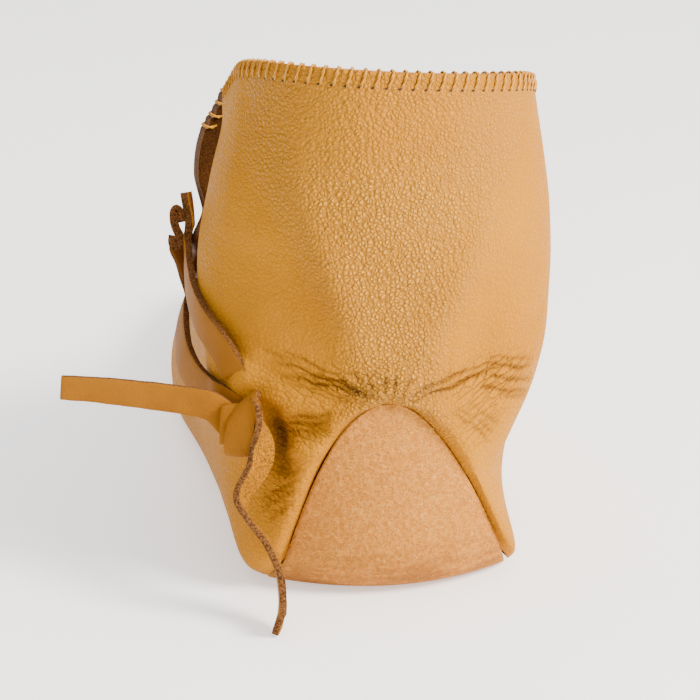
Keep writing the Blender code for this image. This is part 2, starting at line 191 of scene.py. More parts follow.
# %% [markdown]
# ### Thong leather, its flesh side and its cut edges
# The thongs are cut from a smooth part of an ochre cowhide. The grain side shows only fine pores and faint
# stretch lines, and a dull gloss. The flesh side is a golden brown nap of short fibres, and a cut edge shows
# the fibres end on: speckled, rough and darker. Nap and cut edge are one kind of finish, a crowded noise
# between two browns, which hardly shines. The real fibres are finer than could be seen, so they are drawn
# about half a millimetre across.

# %% Finishes of the thongs
GRAIN_MM = 0.5
PORE_MM = 0.9
FIBRE_MM = 0.5
SPECKLE_MM = 0.55
CLOUD_MM = 9.0


def make_thong_leather():
    material, shader, place, node = start_material("smooth_ochre_thong_leather")
    pores = node("ShaderNodeTexVoronoi", {"Vector": place, "Scale": per_metre(PORE_MM)}, feature="F1")
    fine = node("ShaderNodeTexNoise", {"Vector": place, "Scale": per_metre(GRAIN_MM), "Detail": 3.0})
    height = node("ShaderNodeMath", {0: pores, 1: 0.5, 2: fine}, operation="MULTIPLY_ADD")
    bump = node("ShaderNodeBump", {"Height": height, "Strength": 1.0, "Distance": 0.14 * MM})
    cloud = node("ShaderNodeTexNoise", {"Vector": place, "Scale": per_metre(CLOUD_MM), "Detail": 3.0})
    colour = node(
        "ShaderNodeMix",
        {"Factor": cloud, MIX_A: linear("#7C4C0C"), MIX_B: linear("#965E12")},
        data_type="RGBA",
    )
    fill(shader, {"Base Color": colour.outputs[MIXED], "Normal": bump, "Roughness": 0.55, "IOR": 1.5})
    fill(shader, {"Specular IOR Level": 0.05})
    return material


def make_fibrous(name, low, high, scale_mm, lift_mm):
    """Nap or cut leather: fibres between a dark and a pale colour, raised by so many millimetres."""
    material, shader, place, node = start_material(name)
    fibres = node("ShaderNodeTexNoise", {"Vector": place, "Scale": per_metre(scale_mm), "Detail": 4.0})
    patches = node("ShaderNodeTexNoise", {"Vector": place, "Scale": per_metre(CLOUD_MM), "Detail": 2.0})
    spread = node(
        "ShaderNodeMapRange",
        {"Value": fibres, "From Min": 0.34, "From Max": 0.66},
        interpolation_type="SMOOTHSTEP",
    )
    blend = node("ShaderNodeMath", {0: patches, 1: 0.6, 2: spread}, operation="MULTIPLY_ADD")
    share = node("ShaderNodeMapRange", {"Value": blend, "From Min": 0.1, "From Max": 1.4})
    colour = node(
        "ShaderNodeMix",
        {"Factor": share, MIX_A: linear(low), MIX_B: linear(high)},
        data_type="RGBA",
    )
    bump = node("ShaderNodeBump", {"Height": fibres, "Strength": 1.0, "Distance": lift_mm * MM})
    fill(shader, {"Base Color": colour.outputs[MIXED], "Normal": bump, "Roughness": 0.95})
    fill(shader, {"Specular IOR Level": 0.1, "IOR": 1.4})
    return material


thong_grain = make_thong_leather()
thong_flesh = make_fibrous("golden_suede_thong_flesh", "#4A2C06", "#AC7010", FIBRE_MM, 0.4)
cut_edge = make_fibrous("raw_cut_leather_edge", "#2E1A0C", "#80542C", SPECKLE_MM, 0.5)
print(thong_grain.name, thong_flesh.name, cut_edge.name)

# %% [markdown]
# ## A fine sheet
# Every leather piece starts the same way: a flat grid is laid out by an operator, each of its points is
# moved to its place, and a Solidify modifier gives the sheet its thickness. Solidify can put the flesh side
# and the cut edges in material slots of their own, counted on from the face that they grow from.


# %% Grid and wall
# Points of two rows or columns that meet, as at the riser's tip, are this close: they become one point.
MERGE_DISTANCE = 0.00002


def make_sheet(name, rows, columns, point, materials):
    """An object and its bmesh: a grid whose vertices are placed by point(row, column), in millimetres."""
    form = bmesh.new()
    bmesh.ops.create_grid(form, x_segments=columns - 1, y_segments=rows - 1, size=1.0)
    ordered = sorted(form.verts, key=lambda v: (round(v.co.y, 5), round(v.co.x, 5)))
    marks = {v: divmod(k, columns) for k, v in enumerate(ordered)}
    for v, (row, column) in marks.items():
        v.co = (point(row, column) + BODY_SHIFT) * MM
    mesh = bpy.data.meshes.new(name)
    for material in materials:
        mesh.materials.append(material)
    thing = bpy.data.objects.new(name, mesh)
    bpy.context.scene.collection.objects.link(thing)
    return thing, form, marks


def face_out(form, spot, way):
    """Turns the sheet's faces so that the one nearest to a spot, in millimetres, looks the given way."""
    bmesh.ops.recalc_face_normals(form, faces=form.faces)
    near = (spot + BODY_SHIFT) * MM
    nearest = min(form.faces, key=lambda f: (f.calc_center_median() - near).length)
    if nearest.normal.dot(way) < 0.0:
        bmesh.ops.reverse_faces(form, faces=form.faces)


def close_mesh(thing, form):
    form.to_mesh(thing.data)
    form.free()
    thing.data.shade_smooth()


def add_wall(thing, thickness, offset=-1.0, even=False):
    """Gives a sheet its thickness; its back and its rim take the next two material slots."""
    wall = thing.modifiers.new("wall", "SOLIDIFY")
    wall.thickness = thickness * MM
    wall.offset = offset
    wall.use_even_offset = even
    wall.use_quality_normals = True
    wall.material_offset = 1
    wall.material_offset_rim = 2


def soften_edges(thing, width):
    """Rounds the edges of a cut piece, as a knife leaves them a little soft."""
    round_off = thing.modifiers.new("soft edge", "BEVEL")
    round_off.width = width * MM
    round_off.segments = 2
    round_off.limit_method = "ANGLE"
    round_off.angle_limit = math.radians(50.0)


def settle(thing, slot=None, *nodes):
    """Lets a finished piece ride on the shoe and stand for its CAD nodes."""
    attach(thing, "root")
    if nodes:
        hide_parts(*nodes)


def count(thing):
    """Triangles of a piece with its modifiers, for keeping an eye on the budget."""
    shape = thing.evaluated_get(bpy.context.evaluated_depsgraph_get()).to_mesh()
    shape.calc_loop_triangles()
    return len(shape.loop_triangles)


print("sheets merge points nearer than", MERGE_DISTANCE / MM, "mm")

# %% [markdown]
# ## The thongs
# Two flat thongs, about 9 mm wide and 2 mm thick, cross the side opening from the quarter to the flap, and
# each is knotted. Two of their ends are long and free, one stands out to the side and one hangs to the
# floor. Each row of a table is a point of the thong's middle and the way its grain side faces there, so the
# thong can twist as it goes. The two free ends are flat cords, and they are made first.

# %% Routes of the free ends
THONG_WIDTH = 8.8
THONG_THICKNESS = 2.0
OUT_TAPER = 0.78
PLACE, FACING = (1, 2, 3), (4, 5, 6)
# A strip's grid: points across it, and rows from one row of its table to the next.
STRIP_COLUMNS = 7
STRIP_STEPS = 8
# A cut strip is never quite straight, flat or even.
EDGE_WANDER_MM = 0.22
CUP_MM = 0.25
WAVE_MM = 0.15
LOWER_OUT = [
    ("knot", -51.0, -117.0, 55.9, -0.30, -0.94, 0.10),
    ("beside knot", -58.5, -114.5, 57.4, -0.20, -0.97, 0.05),
    ("middle", -70.0, -111.5, 58.7, -0.12, -0.99, 0.00),
    ("outer", -82.0, -109.0, 60.0, -0.12, -0.99, 0.00),
    ("end", -92.6, -107.2, 60.8, -0.12, -0.99, 0.00),
]
LOWER_DOWN = [
    ("knot", -38.6, -128.5, 47.0, -0.55, 0.70, 0.00),
    ("twist", -40.2, -130.5, 41.5, -0.60, 0.75, 0.10),
    ("bow", -45.0, -132.5, 34.5, -0.80, 0.58, 0.12),
    ("turn", -44.2, -135.5, 29.0, -0.98, 0.10, -0.20),
    ("fall", -38.6, -139.5, 22.0, -0.90, 0.10, -0.40),
    ("foot", -36.0, -144.0, 14.0, -0.98, 0.10, -0.15),
    ("floor", -36.4, -149.5, 7.0, -1.00, 0.10, 0.05),
    ("end", -38.4, -155.5, 4.8, -0.95, 0.10, 0.30),
]
# Inside the knot, where the CAD source has only a block, the two ends run on to the fold that holds them.
OUT_IN_KNOT = ("in the knot", -45.6, -119.6, 51.0, -0.45, -0.80, 0.40)
DOWN_IN_KNOT = [
    ("in the knot", -40.5, -122.0, 57.5, -0.95, 0.12, 0.00),
    ("beside the fold", -38.9, -126.0, 54.4, -0.98, 0.15, 0.00),
]
print("rows of the free ends:", len(LOWER_OUT), "and", len(LOWER_DOWN))


# %% Strips of leather
def thong_sides(rows, taper=1.0):
    """A function that gives a thong's two long edges at a place along its table."""

    def sides(at):
        onward = read_row(rows, PLACE, at + 0.05) - read_row(rows, PLACE, at - 0.05)
        across = onward.cross(read_row(rows, FACING, at)).normalized()
        middle = read_row(rows, PLACE, at)
        wander = EDGE_WANDER_MM * noise.noise(middle * 0.21)
        half = THONG_WIDTH / 2 * (1.0 + (taper - 1.0) * at / (len(rows) - 1)) + wander
        return middle - across * half, middle + across * half

    return sides


def edge_sides(rows):
    """The same from a table that gives the left and then the right edge, as points (x, y, z)."""

    def sides(at):
        return read_row(rows, (1, 2, 3), at), read_row(rows, (4, 5, 6), at)

    return sides


def make_strip(name, rows, sides, way, thickness=THONG_THICKNESS):
    """A strip of leather between two edges, with its grain side turned the given way at its start."""
    total = STRIP_STEPS * (len(rows) - 1) + 1

    def point(row, column):
        left, right = sides(row / STRIP_STEPS)
        return left.lerp(right, column / (STRIP_COLUMNS - 1))

    strip, form, marks = make_sheet(
        name, total, STRIP_COLUMNS, point, [thong_grain, thong_flesh, cut_edge]
    )
    left, right = sides(0.0)
    face_out(form, (left + right) / 2, way)
    form.normal_update()
    for v, (_, column) in marks.items():
        share = 2.0 * column / (STRIP_COLUMNS - 1) - 1.0
        wave = WAVE_MM * noise.noise(v.co / MM * 0.16)
        v.co += v.normal * (CUP_MM * (1.0 - share**2) + wave) * MM
    close_mesh(strip, form)
    add_wall(strip, thickness, 0.0, even=True)
    soften_edges(strip, 0.3)
    return strip


def thong(name, rows, taper=1.0):
    """A flat thong along a table's route; taper is its last width as a share of its first."""
    return make_strip(name, rows, thong_sides(rows, taper), Vector(rows[0][4:7]))


def route(rows):
    """The points that a thong's middle follows, in metres in the shoe's frame."""
    total = STRIP_STEPS * (len(rows) - 1)
    return [tuple((read_row(rows, PLACE, k / STRIP_STEPS) + BODY_SHIFT) * MM) for k in range(total + 1)]


print("the hanging end starts at", [round(c, 4) for c in route(DOWN_IN_KNOT + LOWER_DOWN)[0]], "m")

# %% The two free ends of the lower thong
out_rows = [OUT_IN_KNOT] + LOWER_OUT
out_end = thong("lower_thong_end_out", out_rows, OUT_TAPER)
settle(out_end, "thong_leather", "end_lower_out")

down_rows = DOWN_IN_KNOT + LOWER_DOWN
down_end = thong("lower_thong_end_down", down_rows)
settle(down_end, "thong_leather", "end_lower_down")
print("free ends:", count(out_end), "and", count(down_end), "triangles")

# %% [markdown]
# ## The bars and the knots
# A bar comes out of a slot in the quarter, crosses the opening and goes to the flap. The upper one runs on
# upwards through its knot and ends in a short tip. A knot is mostly the thong folded round itself, so each
# is made of a few short strips whose two edges are placed one by one.

# %% The two bars
# Rows as before: the middle's x, y and z, and the way the grain side faces.
UPPER_BAR = [
    ("quarter slot", -44.2, -114.4, 65.4, -0.79, -0.60, 0.15),
    ("heel side", -47.4, -110.2, 70.9, -0.85, -0.50, 0.05),
    ("ankle back", -50.8, -100.0, 74.9, -0.95, -0.30, 0.05),
    ("ankle", -51.8, -88.5, 77.7, -1.00, -0.08, 0.05),
    ("opening", -51.4, -75.3, 80.1, -1.00, 0.08, 0.05),
    ("under knot", -50.2, -64.0, 83.0, -1.00, 0.12, 0.05),
    ("flap", -49.6, -58.5, 86.5, -1.00, 0.14, 0.00),
]
UPPER_TIP = [
    ("out of knot", -48.6, -57.0, 91.0, -0.97, 0.24, 0.00),
    ("middle", -48.7, -55.0, 95.0, -0.95, 0.30, 0.00),
    ("end", -49.2, -53.5, 99.5, -0.95, 0.30, 0.05),
]
LOWER_BAR = [
    ("under knot", -47.8, -112.2, 56.2, -0.83, -0.55, 0.10),
    ("heel side", -49.9, -105.2, 55.8, -0.90, -0.40, 0.15),
    ("ankle back", -52.3, -94.2, 56.1, -0.95, -0.20, 0.25),
    ("ankle", -53.7, -81.5, 57.9, -0.95, 0.00, 0.30),
    ("opening", -52.8, -68.9, 60.7, -0.92, 0.15, 0.30),
    ("flap", -50.4, -56.0, 64.5, -0.88, 0.30, 0.30),
    ("flap slot", -45.0, -47.0, 68.0, -0.85, 0.40, 0.30),
]
UPPER_IN_QUARTER = ("in the quarter", -40.6, -111.4, 62.4, -0.79, -0.60, 0.15)
LOWER_IN_QUARTER = ("in the quarter", -41.8, -116.0, 53.6, -0.83, -0.55, 0.10)
bar_upper = thong("upper_thong_bar", [UPPER_IN_QUARTER] + UPPER_BAR + UPPER_TIP)
settle(bar_upper, "thong_leather", "thong_bar_upper", "end_upper_tip")
bar_lower = thong("lower_thong_bar", [LOWER_IN_QUARTER] + LOWER_BAR)
settle(bar_lower, "thong_leather", "thong_bar_lower")
print("bars:", count(bar_upper), "and", count(bar_lower), "triangles")

# %% The upper knot: a thin end folded into an S, and a tail that hangs below it
FOLD_THICKNESS = 2.2
TAIL_THICKNESS = 1.4
CURL_Y = -57.0
CURL_WIDTH = 7.6
CURL_WAY = Vector((-0.16, -0.93, 0.33))
# The middle of the folded end, seen edge-on from behind: x and z.
CURL = [
    ("upper end", -51.1, 91.6),
    ("upper turn inside", -51.5, 94.3),
    ("upper turn", -52.5, 95.6),
    ("upper turn outside", -53.3, 94.4),
    ("leg", -53.2, 91.8),
    ("middle", -52.5, 89.4),
    ("lower leg", -51.7, 87.6),
    ("lower turn inside", -51.5, 85.6),
    ("lower turn", -52.3, 84.1),
    ("lower turn below", -53.4, 84.2),
    ("lower turn outside", -54.0, 85.6),
    ("lower end", -53.8, 87.6),
]
# The tail's left and then its right edge, as points (x, y, z); it narrows where it turns behind the bar.
TAIL = [
    ("in the knot", -54.4, -58.6, 86.6, -50.0, -56.4, 86.2),
    ("out of the knot", -54.9, -59.6, 84.0, -50.0, -56.0, 83.2),
    ("fall", -53.1, -60.0, 79.8, -49.8, -56.2, 78.8),
    ("middle", -51.8, -60.2, 74.7, -49.5, -57.0, 73.8),
    ("end", -50.3, -60.4, 69.4, -49.2, -58.4, 68.6),
]


def curl_sides(at):
    """The folded end's two long edges, before and behind its middle."""
    x, z = read_row(CURL, (1, 2), at)
    middle = Vector((x, CURL_Y, z))
    return middle - CURL_WAY * CURL_WIDTH / 2, middle + CURL_WAY * CURL_WIDTH / 2


curl = make_strip("upper_knot_fold", CURL, curl_sides, Vector((1.0, 0.0, 0.0)), FOLD_THICKNESS)
settle(curl, "thong_leather", "knot_upper")
tail = make_strip("upper_knot_tail", TAIL, edge_sides(TAIL), Vector((-0.6, -0.8, 0.0)), TAIL_THICKNESS)
settle(tail, "thong_leather", "end_upper_hang")
print("upper knot:", count(curl) + count(tail), "triangles")

# %% The lower knot: a wrap over a second layer
# Each row gives the strip's left and then its right edge, as points (x, y, z).
WRAP = [
    ("behind", -43.6, -117.6, 54.0, -37.4, -119.6, 59.0),
    ("over the top", -45.1, -121.5, 55.8, -38.8, -124.0, 61.9),
    ("shoulder", -46.5, -122.7, 54.3, -39.4, -126.6, 58.6),
    ("front", -47.5, -123.5, 52.0, -40.3, -128.1, 54.2),
    ("lower front", -48.4, -124.0, 47.2, -41.2, -128.4, 49.4),
    ("bottom turn", -48.1, -123.5, 44.2, -41.9, -127.5, 45.2),
    ("tucked under", -47.4, -121.0, 44.6, -41.6, -124.6, 45.4),
]
LAYER = [
    ("behind", -47.6, -117.4, 55.0, -41.0, -119.0, 55.8),
    ("top", -48.8, -120.2, 56.0, -42.2, -122.2, 57.0),
    ("middle", -49.4, -121.6, 51.2, -42.6, -124.4, 52.4),
    ("end", -49.6, -122.0, 46.4, -43.4, -124.8, 46.8),
]
WRAP_THICKNESS = 1.8
LAYER_THICKNESS = 1.6
TOP_WAY = Vector((0.0, 0.2, 1.0))
wrap = make_strip("lower_knot_wrap", WRAP, edge_sides(WRAP), TOP_WAY, WRAP_THICKNESS)
settle(wrap, "thong_leather", "knot_lower")
layer = make_strip("lower_knot_layer", LAYER, edge_sides(LAYER), TOP_WAY, LAYER_THICKNESS)
settle(layer, "thong_leather", "knot_lower")
print("lower knot:", count(wrap) + count(layer), "triangles")

# %% [markdown]
# ## The shoe's own sizes
# The CAD source works every surface out from a few sizes and short tables. They stand here too, so that a
# finer surface can be drawn where the plain CAD solids are. A few differ, because solids must be kept a
# little apart and real leather touches: the upper sits closer to the sole, and the side opening ends a little
# lower and its flap stands off a little more beside the thongs. Lengths are millimetres.

# %% Sizes of the sole and the back line
SOLE_TIP_Y = 131.0
TOE_ARC_Y = 110.0
BACK_Y = -133.0
APEX_Z = 59.0
COLLAR_BACK_Z = 152.5
COLLAR_CANT = 0.094
COLLAR_CROWN = 4.8
BACK_LEAN = 8.0
TOE_SPRING = 8.0
TOE_SPRING_Y = 72.0
ARCH_RISE = 2.0
ARCH_FRONT_Y = 32.0
ARCH_BACK_Y = -58.0
HEEL_BEND_RADIUS = 13.0
HEEL_HALF_WIDTH = 34.5
HEEL_PLAN_RADIUS = 49.0
HEEL_ROUND_START_Y = -60.0
RISER_TAPER = 0.51
TOE_ROUNDNESS = 1.9
TOE_SWING = 8.0
APEX_SWING = -3.5
SOLE_THICKNESS = 3.5
WALL = 1.8
# The upper's border: its gap from the sole, how far it lies in from the sole's face, and how far the wall is
# pressed into the sole's rim along the foot, where it leaves the rim bulging outwards at least a little.
GAP = 0.12
SEAM_INSET = 0.8
PRESSED_IN = 0.5
RIM_BULGE = 0.5
# Beside the seam the leather swells in a soft roll, low along the foot and high up the riser: its two
# heights, its reach, and the stretch of height over which it grows.
FLOOR_ROLL = 0.5
RISER_ROLL = 3.0
ROLL_REACH = 4.5
ROLL_START_Z = 1.0
ROLL_CLIMB = 9.0

# Outline of the flat sole: distance from its tip, and half-widths to the outer and the inner side.
OUTLINE = [
    ("toe", 21, 18.5, 19.5),
    ("toe joint", 38, 27.5, 28.0),
    ("tread", 56, 34.0, 34.0),
    ("ball", 76, 38.0, 39.0),
    ("behind ball", 96, 39.5, 41.0),
    ("vamp", 118, 39.0, 38.5),
    ("waist", 142, 36.5, 33.5),
    ("arch", 168, 33.5, 29.5),
    ("rear arch", 192, 32.5, 30.0),
    ("heel", 216, 33.5, 33.0),
    ("heel bend", 251, HEEL_HALF_WIDTH, HEEL_HALF_WIDTH),
]

# %% Sections of the upper and its side opening
# Each section spans from the sole or the back line, `along` millimetres from the sole's tip, to its crest on
# the ridge line (y, z). Then come the widest half-widths to the outer and inner side, where along the height
# it is widest, how full its arch is, and how far its crest lies to the inner side.
SECTIONS = [
    ("toe edge", 21, 131.5, 8.5, 21.6, 22.4, 0.02, 1.90, 7.5),
    ("toe nose", 26, 134.0, 15.0, 24.6, 25.4, 0.25, 2.05, 7.0),
    ("toe", 34, 129.5, 22.5, 29.2, 30.0, 0.26, 2.10, 6.5),
    ("toe top", 46, 115.5, 27.5, 34.3, 35.0, 0.25, 2.00, 5.5),
    ("tread", 64, 93.0, 33.0, 39.6, 41.0, 0.24, 1.90, 4.5),
    ("ball", 84, 67.0, 41.0, 42.8, 44.6, 0.24, 1.85, 3.5),
    ("vamp", 106, 41.0, 52.5, 44.5, 45.0, 0.25, 1.85, 3.0),
    ("waist", 130, 16.0, 67.0, 45.0, 43.0, 0.27, 1.90, 3.0),
    ("instep", 156, -4.0, 83.0, 45.5, 41.5, 0.30, 1.95, 3.0),
    ("throat", 184, -17.0, 97.0, 46.0, 41.5, 0.33, 2.00, 3.0),
    ("ankle front", 214, -25.0, 106.0, 46.5, 44.3, 0.36, 2.05, 3.0),
    ("heel", 251, -31.0, 111.5, 47.5, 46.4, 0.38, 2.10, 3.0),
    ("heel bend", 267.7, -33.0, 113.5, 48.5, 47.8, 0.40, 2.10, 3.0),
    ("riser", 285.7, -34.5, 115.0, 49.5, 49.8, 0.42, 2.10, 3.0),
    ("riser top", 301.7, -35.8, 116.0, 50.0, 51.8, 0.45, 2.15, 3.0),
    ("apex", 317.7, -36.8, 117.0, 49.5, 52.9, 0.48, 2.20, 3.0),
    ("ankle", 337.7, -38.0, 118.5, 47.5, 52.9, 0.50, 2.20, 3.0),
    ("shaft", 360.7, -39.2, 120.0, 44.5, 51.8, 0.50, 2.20, 3.0),
    ("upper shaft", 388.7, -40.0, 121.5, 40.0, 49.3, 0.50, 2.20, 3.0),
    ("collar", 411.2, -40.5, 122.5, 37.0, 47.6, 0.50, 2.20, 3.0),
]
COLLAR = len(SECTIONS) - 1
HEEL_ROW, INSTEP_ROW, APEX_ROW, ANKLE_ROW = (
    [row[0] for row in SECTIONS].index(name) for name in ("heel", "instep", "apex", "ankle")
)

# Soft swellings and hollows in the slack leather: centre (x, y, z), reach, and the push along x, y and z.
SWELLINGS = [
    ("inner heel hollow", 38.0, -103.0, 28.0, 22.0, -12.0, 1.0, 0.0),
    ("outer heel hollow", -34.0, -106.0, 38.0, 13.0, 4.5, 2.5, 0.0),
    ("inner heel corner", 36.0, -114.0, 7.0, 10.0, 1.5, -2.0, 0.0),
    ("outer heel corner", -36.0, -114.0, 8.0, 11.0, -2.0, -1.0, 0.0),
    ("front of the quarter", -34.0, -66.0, 137.0, 11.0, -5.0, 0.0, -4.0),
]

# The side opening: the place between sections, how far round from the sole's edge to the ridge lie the
# quarter's front edge and the flap's edge, and how far the flap stands off.
OPENING = [
    ("foot", 9.1, 0.480, 0.480, 0.0),
    ("under the thongs", 10.1, 0.530, 0.535, 8.6),
    ("lower thong", 10.75, 0.560, 0.575, 9.6),
    ("upper thong", 12.0, 0.590, 0.612, 9.6),
    ("above the knot", 13.0, 0.620, 0.655, 6.2),
    ("middle", 15.0, 0.645, 0.700, 8.6),
    ("upper middle", 17.0, 0.640, 0.700, 9.9),
    ("below collar", 18.0, 0.630, 0.700, 8.4),
    ("collar", 19.0, 0.620, 0.700, 7.6),
]
FLARE_REACH = 0.16
# How far round a section is widest, along the foot and up the shaft.
LOWER_SHARE_SOLE = 0.27
LOWER_SHARE_SHAFT = 0.5
# How closely the grid's columns crowd at the seam: up the riser, and along the foot.
SEAM_CROWDING = 1.3
FOOT_CROWDING = 0.45
print(len(SECTIONS), "sections,", len(OUTLINE), "outline rows")

# %% [markdown]
# ## From sizes to surfaces
# A smooth curve through each column of a table turns a dozen rows into a surface that can be asked for a
# point anywhere. The sole's underside follows one centre line, flat under the foot and then up the heel. The
# upper is a fan of sections that start on the sole's edge, or on the back line above the riser, and meet on
# the ridge down the front.


# %% The sole's centre line and edge
BEND_START = SOLE_TIP_Y - (BACK_Y + HEEL_BEND_RADIUS)
BEND_END = BEND_START + HEEL_BEND_RADIUS * math.pi / 2


def centre_line(along):
    """(y, z) on the underside of the sole, then up the heel and the back, at a distance from the tip."""
    if along <= BEND_START:
        y = SOLE_TIP_Y - along
        z = TOE_SPRING * max((y - TOE_SPRING_Y) / (SOLE_TIP_Y - TOE_SPRING_Y), 0.0) ** 2
        if ARCH_BACK_Y < y < ARCH_FRONT_Y:
            z += ARCH_RISE * math.sin(math.pi * (y - ARCH_BACK_Y) / (ARCH_FRONT_Y - ARCH_BACK_Y)) ** 2
        return y, z
    if along <= BEND_END:
        turn = (along - BEND_START) / HEEL_BEND_RADIUS
        return (
            BACK_Y + HEEL_BEND_RADIUS * (1.0 - math.sin(turn)),
            HEEL_BEND_RADIUS * (1.0 - math.cos(turn)),
        )
    z = HEEL_BEND_RADIUS + along - BEND_END
    lean = (z - HEEL_BEND_RADIUS) / (COLLAR_BACK_Z - HEEL_BEND_RADIUS)
    return BACK_Y + BACK_LEAN * lean**2, z


def inward_normal(along):
    """Unit normal of the sole's underside at its centre line, pointing into the shoe."""
    step = 0.5
    (y0, z0), (y1, z1) = centre_line(along - step), centre_line(along + step)
    return Vector((0.0, z1 - z0, y0 - y1)).normalized()


def edge_half_width(along, side):
    """Half-width of the sole or of its heel riser; side is -1 outer, +1 inner."""
    if along <= BEND_START:
        place = place_in(OUTLINE, 1, along)
        return along_rows(OUTLINE, 2 if side < 0 else 3, place)
    z = centre_line(along)[1]
    return HEEL_HALF_WIDTH * max(1.0 - z / APEX_Z, 0.0) ** RISER_TAPER


def swing(along):
    """How far the centre line lies to the inner side: the toe turns inwards, and the apex outwards."""
    y, z = centre_line(along)
    if y > 0.0:
        return TOE_SWING * (y / SOLE_TIP_Y) ** 2
    return APEX_SWING * ease(z / APEX_Z) if along > BEND_START else 0.0


def heel_round(along, half_width):
    """How far forward the rounded heel carries an edge point."""
    y = centre_line(along)[0]
    reach = HEEL_ROUND_START_Y - BACK_Y - HEEL_BEND_RADIUS
    share = ease((HEEL_ROUND_START_Y - y) / reach) if along < BEND_START else 1.0
    return share * half_width**2 / (2.0 * HEEL_PLAN_RADIUS)


def sole_edge(along, side):
    """A point on the lower edge of the sole's rim."""
    half = edge_half_width(along, side)
    y, z = centre_line(along)
    return Vector((swing(along) + side * half, y + heel_round(along, half), z))


def arch_point(turn, width, height, fullness):
    """A point of a quarter superellipse: turn 0 is at its width, and a quarter turn at its height."""
    power = 2.0 / fullness
    return width * max(math.cos(turn), 0.0) ** power, height * max(math.sin(turn), 0.0) ** power


def toe_edge(turn, side):
    """A point of the sole's edge round the toe; turn 0 is at TOE_ARC_Y, and a quarter turn at the tip."""
    start = SOLE_TIP_Y - TOE_ARC_Y
    half = edge_half_width(start, side)
    x, forward = arch_point(turn, half, start, TOE_ROUNDNESS)
    along = start - forward
    return Vector((swing(along) + side * x, TOE_ARC_Y + forward, centre_line(along)[1]))


# %% The upper's seam and its sections
def rim_outward(before, after, inward, side):
    """Unit direction away from the sole, square to its edge."""
    out = (after - before).cross(inward).normalized()
    return out if out.x * side >= 0.0 else -out


def riser_share(z):
    """0 under the foot, where the wall stands beside the sole's rim, and 1 up the riser, where it butts."""
    return ease((z - ROLL_START_Z) / ROLL_CLIMB)


def upper_base(along, side):
    """Where the upper's outer face starts, just outside the sole's edge."""
    inward = inward_normal(along)
    edge = sole_edge(along, side)
    out = rim_outward(sole_edge(along - 1.0, side), sole_edge(along + 1.0, side), inward, side)
    return edge + (GAP + (WALL - PRESSED_IN) * (1.0 - riser_share(edge.z))) * out + SEAM_INSET * inward


def roll(distance, reach):
    """0 at the seam, 1 at the reach and falling off softly after it."""
    share = distance / reach
    return share**2 * math.exp(2.0 * (1.0 - share))


def toe_seam(around, side):
    """Where the upper's outer face starts round the toe; around is 0 at TOE_ARC_Y and 1 at the tip."""
    turn = around * math.pi / 2
    edge = toe_edge(turn, side)
    before, after = toe_edge(max(turn - 0.02, 0.0), side), toe_edge(min(turn + 0.02, math.pi / 2), side)
    out = Vector((after.y - before.y, before.x - after.x, 0.0)).normalized()
    away = (GAP + WALL - PRESSED_IN) * (out if out.x * side >= 0.0 else -out)
    return edge + away + Vector((0.0, 0.0, SEAM_INSET))


class Section:
    """One section of the upper, worked out once and then asked for its points."""

    def __init__(self, place):
        self.place = place
        row = [along_rows(SECTIONS, column, place) for column in range(1, 9)]
        self.along, self.crest_y, self.crest_z, self.outer, self.inner, self.belly, self.full, self.lean = row
        self.y, self.z = centre_line(self.along)
        self.inward = inward_normal(self.along)
        self.middle = swing(self.along)
        self.on_sole = self.z < APEX_Z
        if self.on_sole:
            self.base = {side: upper_base(self.along, side) for side in (-1, 1)}
        else:
            fade = math.exp((APEX_Z - self.z) / ROLL_REACH)
            centre = Vector((self.middle, self.y, self.z)) + self.inward * SEAM_INSET * fade
            self.base = {-1: centre, 1: centre}
        shaft = ease((place - INSTEP_ROW) / (ANKLE_ROW - INSTEP_ROW))
        self.lower_share = LOWER_SHARE_SOLE + (LOWER_SHARE_SHAFT - LOWER_SHARE_SOLE) * shaft
        self.swell = FLOOR_ROLL + (RISER_ROLL - FLOOR_ROLL) * riser_share(self.z)
        self.crowding = FOOT_CROWDING + (SEAM_CROWDING - FOOT_CROWDING) * riser_share(self.z)
        self.collar_share = ease((place - APEX_ROW) / (COLLAR - APEX_ROW))

    def point(self, side, around):
        """A point of the upper's outer face; around is 0 at the sole's edge and 1 at the ridge."""
        if self.place == 0:
            return toe_seam(around, side)
        base = self.base[side]
        start = Vector((0.0, base.y, base.z))
        rise = Vector((0.0, self.crest_y, self.crest_z)) - start
        edge = abs(base.x - self.middle)
        widest = max(self.outer if side < 0 else self.inner, edge + RIM_BULGE)
        if around < self.lower_share:
            turn = (around / self.lower_share) ** self.crowding * math.pi / 2
            out = edge + (widest - edge) * math.sin(turn)
            height = self.belly * (1.0 - math.cos(turn))
        else:
            turn = (around - self.lower_share) / (1.0 - self.lower_share) * math.pi / 2
            out, height = arch_point(turn, widest, 1.0 - self.belly, self.full)
            height += self.belly
        point = start + rise * height
        point.x = side * out + self.middle + (self.lean - self.middle) * height
        seam = base if self.on_sole else APEX_POINT
        from_seam = (point - seam).length
        point -= self.inward * self.swell * roll(from_seam, ROLL_REACH)
        point.z += self.collar_share * (COLLAR_CROWN * math.sin(math.pi * height) - COLLAR_CANT * point.x)
        free = 1.0 - math.exp(-(((point - seam).length / ROLL_REACH) ** 2))
        for _, x, y, z, reach, *push in SWELLINGS:
            share = math.exp(-(((point - Vector((x, y, z))).length / reach) ** 2)) * free
            point += share * Vector(push)
        return point


APEX_POINT = Vector((APEX_SWING, centre_line(SECTIONS[APEX_ROW][1])[0], APEX_Z))


def opening_sides(place):
    """How far round lie the quarter's front edge and the flap's edge, and how far the flap stands off."""
    at = place_in(OPENING, 1, place)
    return [along_rows(OPENING, column, at) for column in (2, 3, 4)]


print("apex of the riser, mm:", [round(c, 1) for c in APEX_POINT])

